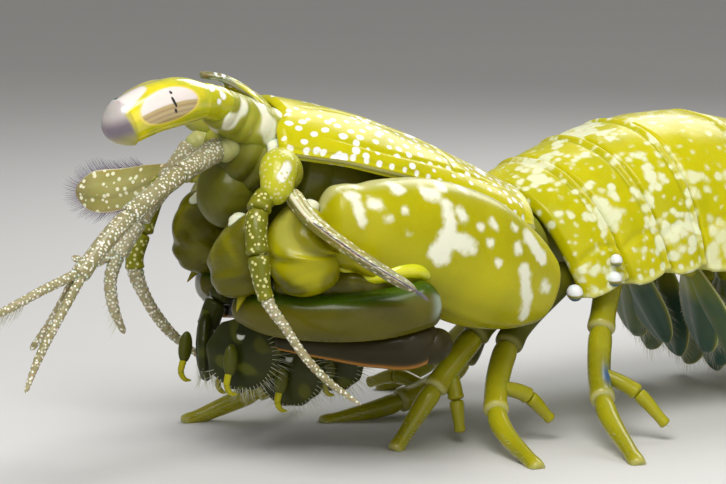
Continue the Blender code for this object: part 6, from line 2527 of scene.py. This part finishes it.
@dataclass
class Legs:
    """Six walking legs, each with its slender side branch.

    Attributes:
        routes: Hip, two bends, foot, and the end of the branch, by number and side.
        radii: Radius at the hip, the bends and the foot.
        branch: Radius along a branch.
        knobs: Pale lobes at the roots of the hind legs.
    """

    routes: dict[tuple[int, Side], tuple] = field(default_factory=lambda: {
        (1, Side.LEFT): ((15.2, -3.2, 8.2), (11.6, -4.0, 5.8), (8.6, -4.4, 3.1), (5.6, -4.8, 0.0),
                         (9.9, -5.2, 0.6)),
        (2, Side.LEFT): ((18.9, -3.7, 9.2), (13.1, -5.2, 5.2), (10.5, -7.9, 2.1), (9.6, -13.2, 0.0),
                         (14.7, -7.4, 1.2)),
        (3, Side.LEFT): ((21.9, -3.8, 9.9), (19.3, -5.9, 5.6), (16.4, -10.0, 2.5), (14.8, -15.4, 0.0),
                         (20.2, -11.0, 0.9)),
        (1, Side.RIGHT): ((15.2, 3.2, 8.2), (9.4, 5.8, 4.6), (3.8, 7.4, 1.6), (-0.3, 8.8, 0.0),
                          (8.2, 8.6, 1.2)),
        (2, Side.RIGHT): ((18.9, 3.7, 9.2), (16.6, 4.4, 2.6), (11.3, 3.4, 0.85), (6.5, 4.4, 0.0),
                          (12.0, 7.6, 1.3)),
        (3, Side.RIGHT): ((21.9, 3.9, 9.9), (19.6, 6.2, 5.2), (17.8, 9.4, 1.8), (15.0, 11.2, 0.0),
                          (20.6, 11.4, 0.8))})
    radii: tuple[float, ...] = (0.85, 0.72, 0.62, 0.36)
    branch: tuple[float, ...] = (0.4, 0.45, 0.28)
    knobs: Rows = ((17.4, -5.9, 8.1, 0.5), (20.0, -6.25, 8.75, 0.46), (20.0, -6.4, 9.85, 0.38))

    def build(self) -> None:
        """Make all six legs and the lobes at their roots."""
        for (number, side), points in self.routes.items():
            self.leg(number, side, [np.array(point) for point in points])
        mould = Mould("leg_root_lobes", LEG.material())
        for side in Side:
            for x, y, z, radius in self.knobs:
                surface = knob((x, y, z), (radius, radius, radius * 0.9), (0.3, -0.3, -1.0)).surface()
                rise = surface.points[..., 2] - z
                surface.masks["mark"] = rise + 0.1
                surface.masks["tint_b"] = 0.8 * smooth(-0.1, -0.4, rise)
                mould.add(placed(surface, side))
        settle(mould.cast(), "leg")

    def leg(self, number: int, side: Side, points: list[np.ndarray]) -> None:
        """One leg: its articles, its branch and the hairs of the foot.

        Args:
            number: Number of the leg.
            side: The side.
            points: Hip, two bends, foot, and the end of the branch.
        """
        hip, upper, lower, foot, stick = points
        ends = (hip, upper, lower, foot - (0, 0, 0.12))
        rows = tuple((*point, radius) for point, radius in zip(ends, self.radii))
        lengths = [float(np.linalg.norm(b - a)) for a, b in zip(points[:3], points[1:4])]
        cuts = (lengths[0] / sum(lengths), (lengths[0] + lengths[1]) / sum(lengths))
        mould = Mould(side.name_of(f"leg_{number}"), LEG.material(), LEG_ROOT.material())
        for order, limb in enumerate(jointed(rows, cuts, 0.1, 48, 36, up=(0.4, 0.1, 1.0))):
            surface = limb.surface()
            length = surface.masks["along"].max()
            joint = smooth(length - 0.5, length - 0.15, surface.masks["along"])
            surface.masks["tint_a"] = (0.4 if order < 2 else 0.25) * joint
            x = surface.points[..., 0]
            rear = smooth(-0.2, 0.1, x - x.mean(axis=1, keepdims=True))
            blue = 0.9 * hump(surface.masks["along"], length * 0.72, length * 0.16) * rear
            surface.masks["tint_b"] = blue if number == 3 and order == 1 else np.zeros_like(joint)
            mould.add(surface, 0 if order or number == 3 else 1)
        root = upper + (lower - upper) * 0.6
        bend = root + (stick - root) * 0.45 + (0.0, 0.0, 0.5)
        path = tuple((*point, radius) for point, radius in zip((root, bend, stick), self.branch))
        for limb in jointed(path, (0.5,), 0.05, 44, 36, up=(0.3, 0.2, 1.0)):
            mould.add(limb.surface())
        settle(mould.cast(), "leg", side.name_of(f"walking_leg_{number}"))
        samples = spline(rows, np.linspace(0.78, 0.985, 24))
        lines = []
        for lean in ((-0.8, -0.5, 0.3), (0.5, 0.7, 0.2), (0.2, -0.8, 0.2)):
            out = unit(np.array(lean))
            line = samples[:, :3] + out * (samples[:, 3] * 0.85)[:, None]
            lines.append((line, np.tile(out + (-0.1, 0.0, -0.35), (24, 1))))
        tip = spline(path, np.linspace(0.6, 0.98, 16))
        lines.append((tip[:, :3], np.tile((0.6, -0.4, -0.3), (16, 1))))
        hairs = HairRow(0.2, 0.5, 0.02, 0.2, 0.3, 80 + number).grow(
            side.name_of(f"leg_{number}_hairs"), lines, HAIR.material())
        settle(hairs, "leg")


@dataclass
class Swimmerets:
    """Five pairs of swimmerets under the abdomen.

    Attributes:
        spread: Distance of a root from the middle.
        place: Share of the ring where the root lies.
        sweep: Backward sweep.
        blade: Length, half width and half thickness of a blade.
        leans: Sideways lean of the two blades.
        room: Room left over the floor.
    """

    spread: float = 3.3
    place: float = 0.34
    sweep: float = math.radians(16)
    blade: tuple[float, float, float] = (6.8, 1.7, 0.3)
    leans: tuple[float, float] = (-0.22, 0.26)
    room: float = 1.0

    def build(self, abdomen: Abdomen) -> None:
        """Make all ten under an abdomen's rings."""
        for side in Side:
            for number, span in enumerate(abdomen.spans()[3:8], start=1):
                self.one(number, side, abdomen, span)

    def one(self, number: int, side: Side, abdomen: Abdomen, span: tuple) -> None:
        """One swimmeret: its stem and two fringed blades.

        Args:
            number: Number of the swimmeret.
            side: The side.
            abdomen: The abdomen.
            span: Its ring's row.
        """
        _, start, end, _, depth = span
        length, wide, thick = self.blade
        point, along, up = (value[0] for value in abdomen.stand(start + (end - start) * self.place))
        root = point - up * (depth * 0.86 + 0.1) + np.array((0.0, -self.spread, 0.0))
        reach = min(length, (root[2] - self.room) / math.cos(self.sweep))
        back = along * math.sin(self.sweep) - up * math.cos(self.sweep)
        knee = root + back * (reach * 0.3)
        mould = Mould(side.name_of(f"swimmeret_{number}"), LEG.material(), SWIMMER.material())
        stem = ((*(root - back * 0.5), 0.8), (*((root + knee) / 2.0), 0.75), (*knee, 0.7))
        mould.add(placed(Limb(stem, 44, 40, (0.2, 0.5), up=(1.0, 0.0, 0.0)).surface(), side))
        fringes = []
        for order, lean in enumerate(self.leans):
            tip = knee + back * (reach * 0.8) + np.array((0.25, lean * reach * -1.0, 0.0))
            tip[2] = max(tip[2], self.room * 0.5)
            first = root + (knee - root) * 0.6
            rows = ((*first, thick, wide * 0.4), (*(knee + (tip - knee) * 0.35), thick * 0.8, wide),
                    (*(knee + (tip - knee) * 0.8), thick * 0.6, wide * 0.8), (*tip, thick * 0.5, wide * 0.35))
            limb = Limb(rows, 70, 50, (0.2, 0.6), up=(0.0, 1.0, 0.15), relief=TailFan.rib)
            surface = limb.surface()
            edge = np.abs(np.sin(surface.masks["around"]))
            surface.masks["tint_a"] = 0.8 * smooth(0.95, 0.99, edge)
            depth = (0.75 - 0.25 * order) * smooth(1.4, 3.0, surface.masks["along"])
            surface.masks["tint_b"] = depth * smooth(0.97, 0.8, edge)
            mould.add(placed(surface, side), 1)
            line, aims = limb.rim(0.3, 30)
            fringes.append((line * side.flip, aims * side.flip))
        settle(mould.cast(), "swimmeret", side.name_of(f"pleopod_{number}"))
        hairs = HairRow(0.15, 0.8, 0.02, 0.2, 0.1, 90 + number).grow(
            side.name_of(f"swimmeret_{number}_fringe"), fringes, HAIR.material())
        settle(hairs, "swimmeret")


def main() -> None:
    """Build every sub-assembly in order."""
    logging.basicConfig(level=logging.INFO, format="%(message)s")
    Studio().build()
    abdomen = Abdomen()
    for assembly in (Carapace(), Trunk(), abdomen, TailFan(), Eyes(), Feelers(), Claws(), Maxillipeds(),
                     Legs()):
        assembly.build()
        LOG.info("%s done", type(assembly).__name__)
    Swimmerets().build(abdomen)
    LOG.info("Swimmerets done")


if __name__ == "__main__":
    main()
